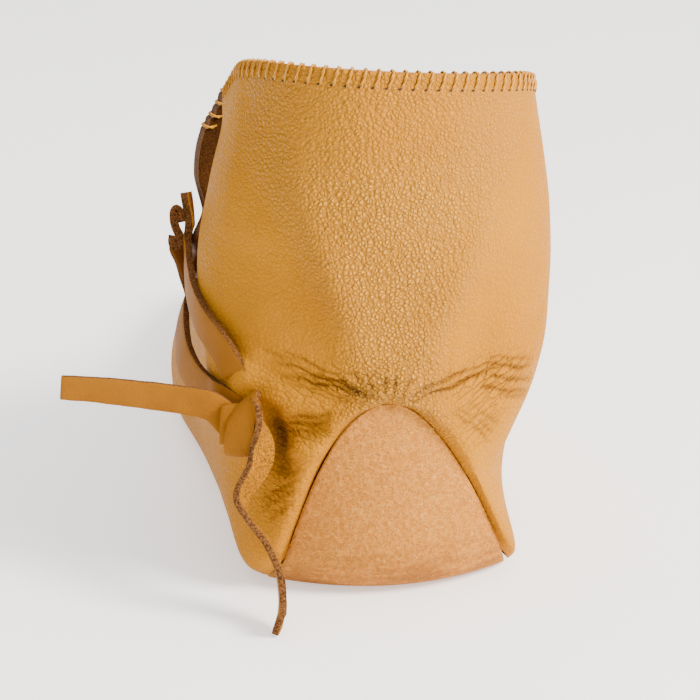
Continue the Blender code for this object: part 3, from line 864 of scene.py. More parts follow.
# %% [markdown]
# ## Leather of the upper
# The upper is drum-dyed, full-grain cowhide with its own shrunken grain: rounded pebbles a little over 1 mm
# across with fine furrows between them. A Voronoi texture gives such cells. Its coordinates are pushed about
# by a noise first, so that the cells are not straight-sided. The crowns of the pebbles shine, and are
# lightened to gold with a painted highlight, and the furrows and creases are darkened with painted shade. The
# mesh carries
# four attributes for this: how strong the pebbles are, since stretched leather is smoother than slack
# leather, how much painted shade a crease gets, where slack leather is finely wrinkled, and where the cut
# edge is raw brown, and not dyed like the hide.

# %% Pebbled leather
PEBBLE_MM = 1.15
WRINKLE_MM = 5.0
PEBBLE_HEIGHT_MM = 0.56
DRIFT_MM = 4.0
DRIFT_PUSH = (0.0014, 0.0014, 0.0014)
DYE_CLOUD_MM = 34.0
# The meshes of the net of fine wrinkles are long and low, and slope upwards to the side.
NET_MM = (6.5, 6.5, 1.7)
NET_SLOPE = math.radians(24.0)


def make_pebbled_leather():
    material, shader, place, node = start_material("pebbled_full_grain_leather")
    strength = node("ShaderNodeAttribute", attribute_name="pebble").outputs["Fac"]
    crease = node("ShaderNodeAttribute", attribute_name="crease").outputs["Fac"]
    slack = node("ShaderNodeAttribute", attribute_name="slack").outputs["Fac"]
    drift = node("ShaderNodeTexNoise", {"Vector": place, "Scale": per_metre(DRIFT_MM), "Detail": 2.0})
    bent = node(
        "ShaderNodeVectorMath",
        {0: drift.outputs["Color"], 1: DRIFT_PUSH, 2: place},
        operation="MULTIPLY_ADD",
    )
    cells = {"Vector": bent, "Scale": per_metre(PEBBLE_MM)}
    dome = node("ShaderNodeTexVoronoi", {**cells, "Smoothness": 0.35}, feature="SMOOTH_F1")
    edge = node("ShaderNodeTexVoronoi", cells, feature="DISTANCE_TO_EDGE")
    long_cells = {"Vector": bent, "Scale": per_metre(WRINKLE_MM)}
    long_edge = node("ShaderNodeTexVoronoi", long_cells, feature="DISTANCE_TO_EDGE")
    grain = node("ShaderNodeTexNoise", {"Vector": place, "Scale": per_metre(GRAIN_MM), "Detail": 3.0})
    furrow = node(
        "ShaderNodeMapRange",
        {"Value": edge, "From Min": 0.0, "From Max": 0.3},
        interpolation_type="SMOOTHSTEP",
    )
    long_furrow = node(
        "ShaderNodeMapRange",
        {"Value": long_edge, "From Min": 0.0, "From Max": 0.07},
        interpolation_type="SMOOTHSTEP",
    )
    crown = node("ShaderNodeMath", {0: dome, 1: -1.3, 2: 0.9}, operation="MULTIPLY_ADD")
    pebbles = node("ShaderNodeMath", {0: furrow, 1: 0.3, 2: crown}, operation="MULTIPLY_ADD")
    relief = node("ShaderNodeMath", {0: long_furrow, 1: 0.25, 2: pebbles}, operation="MULTIPLY_ADD")
    scaled = node("ShaderNodeMath", {0: relief, 1: strength}, operation="MULTIPLY")
    grained = node("ShaderNodeMath", {0: grain, 1: 0.05, 2: scaled}, operation="MULTIPLY_ADD")

    # Fine wrinkles fan up and outwards on both sides, so their coordinates are mirrored and then sloped.
    axes = node("ShaderNodeSeparateXYZ", {"Vector": bent})
    sideways = node("ShaderNodeMath", {0: axes.outputs["X"]}, operation="ABSOLUTE")
    mirrored = node("ShaderNodeCombineXYZ", {"X": sideways, "Y": axes.outputs["Y"], "Z": axes.outputs["Z"]})
    sloped = node("ShaderNodeMapping", {"Vector": mirrored, "Rotation": (0.0, NET_SLOPE, 0.0)})
    stretched = node("ShaderNodeMapping", {"Vector": sloped, "Scale": tuple(map(per_metre, NET_MM))})
    mesh_edge = node("ShaderNodeTexVoronoi", {"Vector": stretched, "Scale": 1.0}, feature="DISTANCE_TO_EDGE")
    wrinkle = node(
        "ShaderNodeMapRange",
        {"Value": mesh_edge, "From Min": 0.0, "From Max": 0.15, "To Min": 1.0, "To Max": 0.0},
        interpolation_type="SMOOTHSTEP",
    )
    net = node("ShaderNodeMath", {0: wrinkle, 1: slack}, operation="MULTIPLY")
    height = node("ShaderNodeMath", {0: net, 1: -0.9, 2: grained}, operation="MULTIPLY_ADD")
    bump = node("ShaderNodeBump", {"Height": height, "Strength": 1.0, "Distance": PEBBLE_HEIGHT_MM * MM})

    # The dye is a little uneven. Furrows, creases and wrinkles are darkened with painted shade, and the
    # crowns of strong pebbles are lightened with a painted highlight.
    cloud = node("ShaderNodeTexNoise", {"Vector": place, "Scale": per_metre(DYE_CLOUD_MM), "Detail": 3.0})
    tone = node(
        "ShaderNodeMix",
        {"Factor": cloud, MIX_A: linear("#A66A12"), MIX_B: linear("#BE8016")},
        data_type="RGBA",
    )
    hollow = node("ShaderNodeMath", {0: 1.0, 1: furrow}, operation="SUBTRACT")
    soft_hollow = node("ShaderNodeMath", {0: hollow, 1: strength}, operation="MULTIPLY")
    shade = node("ShaderNodeMath", {0: soft_hollow, 1: 0.45, 2: crease}, operation="MULTIPLY_ADD")
    shade = node("ShaderNodeMath", {0: net, 1: 0.4, 2: shade}, operation="MULTIPLY_ADD")
    # Painted shade: furrows, creases and wrinkles are mixed towards dark brown.
    painted_shade = node("ShaderNodeMath", {0: shade, 1: 0.8}, operation="MULTIPLY", use_clamp=True)
    # Painted highlight: crowns of strong pebbles are mixed towards pale gold.
    painted_highlight = node("ShaderNodeMapRange", {"Value": scaled, "From Min": 0.9, "From Max": 1.4, "To Max": 0.6})
    highlighted_tone = node(
        "ShaderNodeMix",
        {"Factor": painted_highlight, MIX_A: tone.outputs[MIXED], MIX_B: linear("#E4B048")},
        data_type="RGBA",
    )
    colour = node(
        "ShaderNodeMix",
        {"Factor": painted_shade, MIX_A: highlighted_tone.outputs[MIXED], MIX_B: linear("#4A2A12")},
        data_type="RGBA",
    )
    gloss = node("ShaderNodeMapRange", {"Value": furrow, "To Min": 0.6, "To Max": 0.33})
    shine = node("ShaderNodeMapRange", {"Value": strength, "From Min": 0.5, "To Min": 0.02, "To Max": 0.5})
    fill(shader, {"Base Color": colour.outputs[MIXED], "Roughness": gloss, "Normal": bump, "IOR": 1.5})
    # The plain level stays in the socket, for a viewer that can't read the linked one.
    fill(shader, {"Specular IOR Level": 0.2, "Specular Tint": linear("#FFCE78")})
    fill(shader, {"Specular IOR Level": shine})
    return material


def make_rim():
    """The upper's cut edge: raw and brown along the opening, ochre where the collar was dyed."""
    material, shader, place, node = start_material("upper_cut_edge")
    raw = node("ShaderNodeAttribute", attribute_name="raw").outputs["Fac"]
    speckle = node("ShaderNodeTexNoise", {"Vector": place, "Scale": per_metre(SPECKLE_MM), "Detail": 3.0})
    brown = node(
        "ShaderNodeMix",
        {"Factor": speckle, MIX_A: linear("#2A1606"), MIX_B: linear("#6E4620")},
        data_type="RGBA",
    )
    colour = node(
        "ShaderNodeMix",
        {"Factor": raw, MIX_A: linear("#B46E10"), MIX_B: brown.outputs[MIXED]},
        data_type="RGBA",
    )
    bump = node("ShaderNodeBump", {"Height": speckle, "Strength": 1.0, "Distance": 0.2 * MM})
    fill(shader, {"Base Color": colour.outputs[MIXED], "Roughness": 0.7, "Normal": bump})
    return material


pebbled = make_pebbled_leather()
upper_rim = make_rim()
flesh = make_fibrous("suede_flesh_side", "#241206", "#52300E", FIBRE_MM, 0.35)
print(pebbled.name, len(pebbled.node_tree.nodes), "nodes")

# %% [markdown]
# ## The upper
# The upper is one sheet, from the seam along the sole to the ridge and down the other side. Rows run from
# the toe over the heel and up the back to the collar, closest together at the ankle, where the creases are.
# The side opening is a column of faces taken out of the grid. The sheet is then smoothed, and its border
# along the foot is stood upright, so that its thickness grows sideways and not under the sole.

# %% Rows and columns of the upper
# Stretches of the upper from the sole's tip: where each ends, in millimetres along, and its row step.
STRETCHES = [
    ("toe", 46.0, 2.5),
    ("foot", 244.0, 5.5),
    ("heel", 286.0, 2.0),
    ("low creases", 297.0, 1.2),
    ("creases", 316.6, 0.7),
    ("tip of the riser", SECTIONS[APEX_ROW][1], 0.28),
    ("fan of creases", 334.0, 0.7),
    ("ankle", 344.0, 1.2),
    ("shaft", 400.0, 2.0),
    ("collar", SECTIONS[COLLAR][1], 1.0),
]
QUARTER_COLUMNS = 96
FLAP_COLUMNS = 20
INNER_COLUMNS = 143
INNER_CROWDING = 1.25


def spread_rows():
    """Distances from the sole's tip at which the upper has a row."""
    at = [SECTIONS[0][1]]
    for _, end, step in STRETCHES:
        start = at[-1]
        steps = round((end - start) / step)
        at += [start + (end - start) * (k + 1) / steps for k in range(steps)]
    return at


alongs = spread_rows()
places = [place_in(SECTIONS, 1, along) for along in alongs]
sections = [Section(place) for place in places]
edges = [opening_sides(place) for place in places]
columns = QUARTER_COLUMNS + FLAP_COLUMNS + INNER_COLUMNS + 1
print(len(places), "rows by", columns, "columns")


# %% Where each point of the upper lies
def upper_spot(row, column):
    """The side, and how far round from the sole's edge to the ridge, of a point of the grid."""
    quarter, flap, _ = edges[row]
    if column <= QUARTER_COLUMNS:
        return -1, quarter * (column / QUARTER_COLUMNS) ** INNER_CROWDING
    if column <= QUARTER_COLUMNS + FLAP_COLUMNS:
        return -1, flap + (1.0 - flap) * (column - QUARTER_COLUMNS - 1) / (FLAP_COLUMNS - 1)
    left = columns - 1 - column
    return 1, (left / INNER_COLUMNS) ** INNER_CROWDING


def stand_off(spot, around, flap, stand):
    """Moves a point of the flap away from the ankle, most at the flap's edge."""
    spot.x -= stand * math.exp(-(((around - flap) / FLARE_REACH) ** 2))
    return spot


def upper_place(row, column):
    """A point of the upper's outer face, before folds and creases."""
    side, around = upper_spot(row, column)
    spot = sections[row].point(side, around)
    if side < 0 and column > QUARTER_COLUMNS:
        stand_off(spot, around, edges[row][1], edges[row][2])
    return spot


print("the heel's middle, mm:", [round(c, 1) for c in upper_place(len(places) // 2, 0)])

# %% The sheet, its opening and its border
SMOOTHINGS = 10
# The border stands upright from one y to the other, up to a height, and reaches this far down.
BORDER_BACK_Y = -96.0
BORDER_FRONT_Y = 104.0
BORDER_TOP_Z = 14.0
BORDER_DROP = 0.45
upper, form, marks = make_sheet(
    "upper_leather", len(places), columns, upper_place, [pebbled, flesh, upper_rim]
)
gap_faces = [
    f for f in form.faces if {marks[v][1] for v in f.verts} == {QUARTER_COLUMNS, QUARTER_COLUMNS + 1}
]
bmesh.ops.delete(form, geom=gap_faces, context="FACES_ONLY")
bmesh.ops.remove_doubles(form, verts=form.verts, dist=MERGE_DISTANCE)
marks = {v: marks[v] for v in form.verts if v in marks}
inside = [v for v in form.verts if not v.is_boundary]
for _ in range(SMOOTHINGS):
    bmesh.ops.smooth_vert(form, verts=inside, factor=0.5, use_axis_x=True, use_axis_y=True, use_axis_z=True)
for border in [v for v in form.verts if v.is_boundary and BORDER_BACK_Y < v.co.y / MM < BORDER_FRONT_Y]:
    beside = [edge.other_vert(border) for edge in border.link_edges if not edge.is_boundary]
    if beside and border.co.z < BORDER_TOP_Z * MM:
        border.co = beside[0].co - Vector((0.0, 0.0, BORDER_DROP * MM))
face_out(form, APEX_POINT + Vector((0.0, 0.0, 10.0)), Vector((0.0, -1.0, 0.0)))
print("the sheet has", len(form.faces), "faces")

# %% [markdown]
# ### Folds and creases
# Slack leather sags above the riser, and the sag has set in folds. Each is a stroke drawn on the back of the
# shoe: it runs from one point to another, seen from behind, and bows up or down on its way. A fold is wide
# and soft. A crease is a narrow trough with a low lip on both sides, as leather piles up beside a sharp bend.

# %% The strokes
# From (x, z) to (x, z), how far its middle bows upwards, half its width, and its height or, below 0, depth.
FOLDS = [
    ("hollow beside the knot", -36.0, 51.6, -19.6, 54.0, 0.0, 3.0, -2.6),
    ("valley by the knot", -36.0, 58.0, -32.6, 38.0, 0.0, 2.8, -3.6),
    ("strip under the knot", -35.0, 42.6, -20.8, 46.2, 0.5, 1.8, 1.2),
    ("edge of the quarter", -38.6, 138.0, -45.6, 101.0, 0.0, 2.6, 1.0),
    ("lip of the upper slot", -37.6, 73.0, -45.4, 55.6, 0.5, 2.8, 2.2),
    ("inner hollow", 22.0, 38.0, 36.0, 29.0, 0.0, 6.0, -1.6),
    ("sag over the apex", -24.0, 63.4, 24.0, 63.6, -1.6, 2.6, 0.7),
    ("bulge right of the apex", 6.0, 56.0, 26.0, 50.0, 1.5, 4.0, 0.8),
    ("dip right of the sag", 22.0, 60.0, 42.0, 54.0, 1.0, 3.0, -0.9),
    ("left shoulder of the sag", -28.0, 122.0, -10.0, 68.0, 0.0, 6.0, 1.5),
    ("left hollow", -37.0, 104.0, -22.0, 68.0, 0.0, 9.0, -2.6),
    ("right shoulder of the sag", 30.0, 116.0, 6.0, 70.0, 0.0, 6.0, 1.4),
    ("right hollow", 37.0, 96.0, 18.0, 62.0, 0.0, 8.0, -2.4),
    ("top of the sag", -26.0, 128.0, 32.0, 122.0, -4.0, 9.0, -0.7),
]
CREASES = [
    ("left a", -4.7, 60.6, -35.0, 69.8, 1.2, 0.55, -0.55),
    ("left b", -6.5, 60.6, -33.0, 65.2, 2.0, 0.60, -0.60),
    ("left c", -10.7, 61.8, -20.5, 68.8, 0.1, 0.45, -0.35),
    ("left d", -11.9, 61.9, -26.2, 64.5, 1.5, 0.50, -0.45),
    ("left e", -19.2, 67.6, -33.2, 73.6, 0.5, 0.45, -0.35),
    ("left f", -14.3, 63.0, -37.1, 72.6, 1.5, 0.50, -0.45),
    ("rise a", -4.7, 61.4, -4.7, 69.2, 0.0, 0.45, -0.35),
    ("rise b", -3.0, 61.4, -1.3, 69.2, 0.0, 0.45, -0.35),
    ("rise c", -6.5, 61.5, -9.4, 69.4, 0.0, 0.45, -0.30),
    ("rise d", -1.3, 60.6, 3.1, 67.4, 0.0, 0.45, -0.35),
    ("rise e", -8.5, 62.5, -14.0, 69.8, 0.0, 0.45, -0.30),
    ("right a", -0.3, 60.6, 26.2, 65.0, 1.5, 0.60, -0.60),
    ("right b", 0.8, 59.8, 30.0, 64.3, 0.0, 0.55, -0.50),
    ("right c", 1.9, 61.6, 15.6, 67.7, -2.0, 0.50, -0.40),
    ("net a", 24.7, 66.1, 42.6, 59.8, 0.8, 0.60, -0.50),
    ("net b", 26.2, 63.2, 43.4, 54.5, 0.8, 0.60, -0.55),
    ("net c", 26.2, 67.4, 43.5, 61.9, 1.0, 0.50, -0.40),
    ("net d", 23.8, 60.4, 42.2, 51.7, 0.8, 0.60, -0.50),
    ("net e", 30.6, 56.7, 41.9, 49.7, 0.5, 0.50, -0.40),
    ("right low a", 14.2, 55.4, 27.1, 43.5, 0.8, 0.60, -0.40),
    ("right low b", 15.9, 56.6, 28.7, 45.2, 0.8, 0.55, -0.35),
    ("right low c", 20.3, 56.6, 30.4, 47.1, 0.6, 0.50, -0.35),
    ("level a", -34.1, 54.2, -18.6, 56.1, 0.4, 0.50, -0.40),
    ("level b", -33.6, 52.2, -20.0, 54.4, 0.4, 0.50, -0.40),
    ("level c", -34.6, 49.4, -24.2, 51.6, 0.3, 0.45, -0.35),
    ("level d", -33.9, 48.1, -22.7, 50.5, 0.3, 0.45, -0.30),
    # A wide, shallow crease beside the lower knot carries painted shadow, where the knot shades the quarter.
    ("painted shadow by the knot", -36.2, 59.0, -32.8, 37.0, 0.0, 2.8, -0.50),
    ("low a", -35.4, 34.6, -28.3, 40.7, 0.0, 0.50, -0.35),
    ("low b", -38.0, 27.5, -28.3, 38.1, 0.0, 0.50, -0.35),
    ("low c", -39.1, 24.3, -29.6, 34.3, 0.0, 0.45, -0.30),
    ("low d", -37.4, 22.2, -30.1, 30.1, 0.0, 0.45, -0.30),
]
# Where fine wrinkles show: middle (x, z), reach along x and z, and how strong they are.
SLACK = [
    ("left of the apex", -19.0, 65.0, 13.0, 6.0, 1.0),
    ("over the apex", -2.0, 66.0, 9.0, 6.0, 0.5),
    ("right of the apex", 29.0, 61.0, 14.0, 7.0, 0.9),
    ("beside the knot", -27.0, 51.0, 9.0, 5.0, 0.7),
    ("outer heel corner", -33.0, 32.0, 6.0, 10.0, 0.6),
    ("inner heel corner", 24.0, 49.0, 8.0, 6.0, 0.6),
]
# Strokes are pressed only into the back of the shoe, behind this y.
BACK_LIMIT_Y = -84.0
# A crease this deep gets all the painted shade it can.
FULL_SHADE_DEPTH = 0.5
# The pebbles are strongest on the slack leather above the riser. They fade to the sides, top and front.
# Where they are strong, their crowns get the painted highlight, and their furrows more painted shade.
LEAST_PEBBLE = 0.38
PEBBLE_FRONT_Y = -80.0
PEBBLE_FADE = 30.0
# That slack leather is a wedge: its middle, its half-width up to a height, and its growth above that.
WEDGE_X = -1.5
WEDGE_HALF = 15.0
WEDGE_FOOT_Z = 76.0
WEDGE_FLARE = 0.44
WEDGE_TOP_Z = 116.0
WEDGE_TOP_FADE = 22.0
# Hand-cut leather is nowhere quite even, except beside the sole.
UNEVEN_MM = 0.35
UNEVEN_FROM_Z = 8.0
UNEVEN_CLIMB = 12.0
print(len(FOLDS), "folds and", len(CREASES), "creases")

# %% [markdown]
# ### The stitched rim
# The rim is whipped from low on the flap's edge, round the collar and down over the quarter's corner. Every
# stitch pulls the leather in a little, so that it swells softly between them.

# %% The rim's path
STITCH_PITCH = 3.85
SCALLOP_REACH = 4.2
SCALLOP_HEIGHT = 0.28
FLAP_STITCHES_FROM = 367.0
QUARTER_STITCHES_TO = 403.5
RIM_STEP = 1.0
# Points along the collar: over the flap, round the inner side, and over the quarter.
FLAP_RIM, INNER_RIM, QUARTER_RIM = 12, 120, 80


def rim_spots():
    """Points of the rim, from the flap's edge round the collar to the quarter's front edge."""
    top = SECTIONS[COLLAR][1]
    rows = int((top - FLAP_STITCHES_FROM) / RIM_STEP)
    spots = []
    for k in range(rows):
        place = place_in(SECTIONS, 1, FLAP_STITCHES_FROM + k * RIM_STEP)
        _, flap, stand = opening_sides(place)
        spots.append(stand_off(Section(place).point(-1, flap), flap, flap, stand))
    collar = Section(COLLAR)
    quarter, flap, stand = opening_sides(COLLAR)
    for k in range(FLAP_RIM):
        around = flap + (1.0 - flap) * k / FLAP_RIM
        spots.append(stand_off(collar.point(-1, around), around, flap, stand))
    spots += [collar.point(1, 1.0 - k / INNER_RIM) for k in range(INNER_RIM)]
    spots += [collar.point(-1, quarter * k / QUARTER_RIM) for k in range(QUARTER_RIM + 1)]
    down = int((top - QUARTER_STITCHES_TO) / RIM_STEP)
    for k in range(1, down + 1):
        place = place_in(SECTIONS, 1, top - k * RIM_STEP)
        spots.append(Section(place).point(-1, opening_sides(place)[0]))
    return spots


rim_path = rim_spots()
rim_tree = kdtree.KDTree(len(rim_path))
rim_phase = []
walked = 0.0
for k, spot in enumerate(rim_path):
    walked += (spot - rim_path[k - 1]).length if k else 0.0
    rim_phase.append(walked / STITCH_PITCH)
    rim_tree.insert(spot, k)
rim_tree.balance()
print("rim:", round(walked), "mm,", int(rim_phase[-1]) + 1, "stitches")


# %% Pressing the strokes into the leather
def scallop(spot):
    """How far the leather swells out between two stitches, near the rim."""
    near, k, distance = rim_tree.find(spot)
    if distance > SCALLOP_REACH:
        return 0.0
    before, after = rim_path[max(k - 1, 0)], rim_path[min(k + 1, len(rim_path) - 1)]
    onward = (after - before).normalized()
    phase = rim_phase[k] + (spot - near).dot(onward) / STITCH_PITCH
    return -SCALLOP_HEIGHT * math.cos(2 * math.pi * phase) * (1.0 - ease(distance / SCALLOP_REACH))


def stroke(spot, row, shape):
    """How high a stroke stands at a point, and how much painted shade it gets there."""
    _, x0, z0, x1, z1, bow, width, height = row
    run_x, run_z = x1 - x0, z1 - z0
    t = ((spot.x - x0) * run_x + (spot.z - z0) * run_z) / (run_x**2 + run_z**2)
    t = min(max(t, 0.0), 1.0)
    off_x = spot.x - x0 - run_x * t
    off_z = spot.z - z0 - run_z * t - bow * 4.0 * t * (1.0 - t)
    distance = math.hypot(off_x, off_z) / width
    if distance > 4.0:
        return 0.0, 0.0
    share = max(math.sin(math.pi * t), 0.0) ** 0.6
    groove = math.exp(-(distance**2))
    lips = (1.0 - 0.5 * distance**2) * math.exp(-0.5 * distance**2) if shape == "crease" else groove
    return height * share * lips, share * groove * min(-height / FULL_SHADE_DEPTH, 1.0)


# Vector noise starts from the clock unless it is given a seed, and the creases must not change between runs.
WRINKLE_SEED = 7
noise.seed_set(WRINKLE_SEED)


def wrinkled(spot):
    """A point seen from behind, pushed about so that no stroke is quite smooth."""
    shift = noise.noise_vector(spot * 0.16) * 0.9 + noise.noise_vector(spot * 0.5) * 0.25
    return spot + shift


def pebble_strength(spot):
    """How strong the grain is: 1 in the middle of the slack wedge."""
    behind = ease((PEBBLE_FRONT_Y - spot.y) / PEBBLE_FADE)
    half = WEDGE_HALF + WEDGE_FLARE * max(spot.z - WEDGE_FOOT_Z, 0.0)
    top = 1.0 - 0.4 * ease((spot.z - WEDGE_TOP_Z) / WEDGE_TOP_FADE)
    plump = math.exp(-(((spot.x - WEDGE_X) / half) ** 4)) * top
    return LEAST_PEBBLE + (1.0 - LEAST_PEBBLE) * plump * behind


def slackness(spot):
    """How strong the fine wrinkles are, on the part of the upper that faces backwards."""
    total = 0.0
    for _, x, z, reach_x, reach_z, strength in SLACK:
        total += strength * math.exp(-(((spot.x - x) / reach_x) ** 2) - ((spot.z - z) / reach_z) ** 2)
    return total * ease((PEBBLE_FRONT_Y - spot.y) / PEBBLE_FADE)


def press_strokes(form):
    """Moves the upper's points along their normals, and fills in the attributes that its leather reads."""
    form.normal_update()
    form.verts.index_update()
    opening = {v.index for v, (_, column) in marks.items() if column - QUARTER_COLUMNS in (0, 1)}
    pebble = form.verts.layers.float.new("pebble")
    crease = form.verts.layers.float.new("crease")
    slack = form.verts.layers.float.new("slack")
    raw = form.verts.layers.float.new("raw")
    for v in form.verts:
        spot = v.co / MM - BODY_SHIFT
        lift, dark = 0.0, 0.0
        facing = ease((-v.normal.y - 0.05) / 0.3)
        if spot.y < BACK_LIMIT_Y and facing > 0.0:
            warped = wrinkled(spot)
            for row in FOLDS:
                lift += stroke(warped, row, "fold")[0] * facing
            # Creases are also darkened with painted shade, which is kept in the crease attribute.
            for row in CREASES:
                height, painted_shade = stroke(warped, row, "crease")
                lift += height * facing
                dark = max(dark, painted_shade * facing)
        v[pebble] = pebble_strength(spot)
        v[slack] = slackness(spot) * facing
        v[crease] = dark
        v[raw] = 1.0 if v.index in opening else 0.0
        uneven = UNEVEN_MM * ease((spot.z - UNEVEN_FROM_Z) / UNEVEN_CLIMB)
        lift += uneven * noise.noise(spot * 0.07) + scallop(spot)
        v.co += v.normal * lift * MM


press_strokes(form)
upper_tree = BVHTree.FromBMesh(form)
close_mesh(upper, form)
add_wall(upper, WALL)
settle(upper, "ochre_leather", "upper")
print("upper:", count(upper), "triangles")

# %% [markdown]
# ## Whip stitches
# The rim is whipped with waxed two-ply linen thread, golden yellow with a soft shine. Each stitch comes out
# of a slit below the rim, climbs the outside, goes over the rim and down the inside. One short route is
# worked out along the rim's own directions, and two plies wind round it. All the stitches are splines of one
# curve, whose bevel makes them round.

# %% Thread, and the painted shade inside the slits
def make_plain(name, colour, roughness):
    """One colour, with fibres so fine that they only break up the shine."""
    material, shader, place, node = start_material(name)
    fibres = node("ShaderNodeTexNoise", {"Vector": place, "Scale": per_metre(0.3), "Detail": 2.0})
    bump = node("ShaderNodeBump", {"Height": fibres, "Strength": 1.0, "Distance": 0.08 * MM})
    fill(shader, {"Base Color": linear(colour), "Roughness": roughness, "Normal": bump})
    return material


thread_finish = make_plain("waxed_linen_thread", "#B87C00", 0.4)
slit_shade_finish = make_plain("painted_shade_stitch_slit", "#2E1604", 0.9)
print(thread_finish.name, slit_shade_finish.name)

# %% The stitches' places and route
PLY_RADIUS = 0.29
PLY_OFFSET = 0.24
PLY_POINTS = 15
PLY_TURNS = 3.0
# A slit's half-sizes, and how far it lies ahead of where the thread comes out.
SLIT_LONG, SLIT_SHORT, SLIT_DEEP = 0.75, 0.3, 0.16
SLIT_AHEAD = 0.45
# The thread's route over the rim: how far below the rim, how far off the outer face, how far it leans along.
STITCH = [
    ("in the slit", 4.6, -0.6, 0.75),
    ("out", 4.3, 0.15, 0.7),
    ("outside", 3.0, 0.4, 0.35),
    ("shoulder", 1.2, 0.45, -0.15),
    ("edge", 0.0, 0.2, -0.4),
    ("top", -0.4, -0.7, -0.4),
    ("inner edge", -0.2, -1.8, -0.3),
    ("inside", 1.4, -2.2, 0.0),
    ("in again", 3.6, -2.1, 0.4),
    ("inside the wall", 4.3, -1.2, 0.7),
]


def place_stitches():
    """Places and directions of the stitches, evenly along the rim."""
    at = 0.0
    found = []
    for start, end in zip(rim_path, rim_path[1:]):
        length = (end - start).length
        while at <= length:
            found.append((start.lerp(end, at / length), (end - start).normalized()))
            at += STITCH_PITCH
        at -= length
    return found


def on_leather(tree, spot):
    """The nearest point of the upper's outer face, in millimetres, and its normal."""
    place, normal, _, _ = tree.find_nearest((spot + BODY_SHIFT) * MM)
    return place / MM - BODY_SHIFT, normal


def stitch_frame(tree, rim, onward):
    """Where a stitch sits: rim point, outward direction, and the direction away from the rim."""
    rim, outward = on_leather(tree, rim)
    below = outward.cross(onward).normalized()
    if (on_leather(tree, rim + below * 3)[0] - rim).length < 2.0:
        below = -below
    return rim, outward, below


def add_ply(curve, route, phase):
    """One ply of a stitch: a spline that winds round the route."""
    spline = curve.splines.new("POLY")
    spline.points.add(PLY_POINTS - 1)
    spline.radius_interpolation = "LINEAR"
    for k, point in enumerate(spline.points):
        at = k / (PLY_POINTS - 1) * (len(STITCH) - 1)
        here, side, off = route(at)
        turn = phase + k / (PLY_POINTS - 1) * PLY_TURNS * 2 * math.pi
        here = here + PLY_OFFSET * (math.cos(turn) * side + math.sin(turn) * off)
        point.co = (*(here + BODY_SHIFT) * MM, 1.0)


def make_stitches(tree):
    """All the stitches as one curve, and all their slits as one mesh of small flat balls."""
    curve = bpy.data.curves.new("whip_stitches", "CURVE")
    curve.dimensions = "3D"
    curve.bevel_depth = PLY_RADIUS * MM
    curve.bevel_resolution = 0
    curve.use_fill_caps = True
    curve.materials.append(thread_finish)
    slits = bmesh.new()
    stitches = place_stitches()
    for rim, onward in stitches:
        rim, outward, below = stitch_frame(tree, rim, onward)
        hole, hole_out = on_leather(tree, rim + below * STITCH[0][1])

        def route(at):
            down, off, lean = read_row(STITCH, (1, 2, 3), at)
            share = min(max(down / STITCH[0][1], 0.0), 1.0)
            face = outward.lerp(hole_out, share).normalized()
            spot = rim.lerp(hole, share) if down > 0.0 else rim + below * down
            onward_step = read_row(STITCH, (1, 2, 3), at + 0.1) - Vector((down, off, lean))
            along_thread = below * onward_step.x + face * onward_step.y + onward * onward_step.z
            side = along_thread.cross(face)
            side = onward if side.length < 1e-4 else side.normalized()
            return spot + face * off + onward * lean, side, along_thread.cross(side).normalized()

        for phase in (0.0, math.pi):
            add_ply(curve, route, phase)
        # Each slit is a small, flat, dark ball on the leather: painted shade standing in for the shadowed
        # stitch hole.
        middle = hole + onward * (STITCH[1][3] + SLIT_AHEAD) + hole_out * 0.06
        turn = Matrix((onward, below, hole_out)).transposed().to_4x4()
        size = Matrix.Diagonal((SLIT_LONG, SLIT_SHORT, SLIT_DEEP, 1.0))
        spot = Matrix.Translation((middle + BODY_SHIFT) * MM) @ turn @ size
        bmesh.ops.create_uvsphere(slits, u_segments=8, v_segments=4, radius=MM, matrix=spot)
    mesh = bpy.data.meshes.new("stitch_slits")
    mesh.materials.append(slit_shade_finish)
    things = bpy.data.objects.new("whip_stitches", curve), bpy.data.objects.new("stitch_slits", mesh)
    for thing in things:
        bpy.context.scene.collection.objects.link(thing)
        settle(thing)
    close_mesh(things[1], slits)
    print(len(stitches), "stitches,", count(things[0]) + count(things[1]), "triangles")


make_stitches(upper_tree)

# %% [markdown]
# ## The sole
# The sole is the same kind of sheet, 3.5 mm thick, from the round of the toe to the top of its heel riser.
# It is natural vegetable-tanned leather, undyed and matt. A fine network of pale, wavy veins lies over a tan
# ground: the edges of Voronoi cells, bent by a noise and a little wider than high. The grain is darker and
# scuffed in level streaks where the heel meets the floor.

# %% Sole leather
VEIN_MM = 1.5
MOTTLE_MM = 1.6
VEIN_DRIFT_MM = 2.4
VEIN_PUSH = (0.0034, 0.0034, 0.0022)
VEIN_SHAPE = (0.75, 0.75, 1.5)
SCUFF_MM = (14.0, 14.0, 2.6)
SCUFF_FROM_Z, SCUFF_TO_Z = 0.001, 0.020


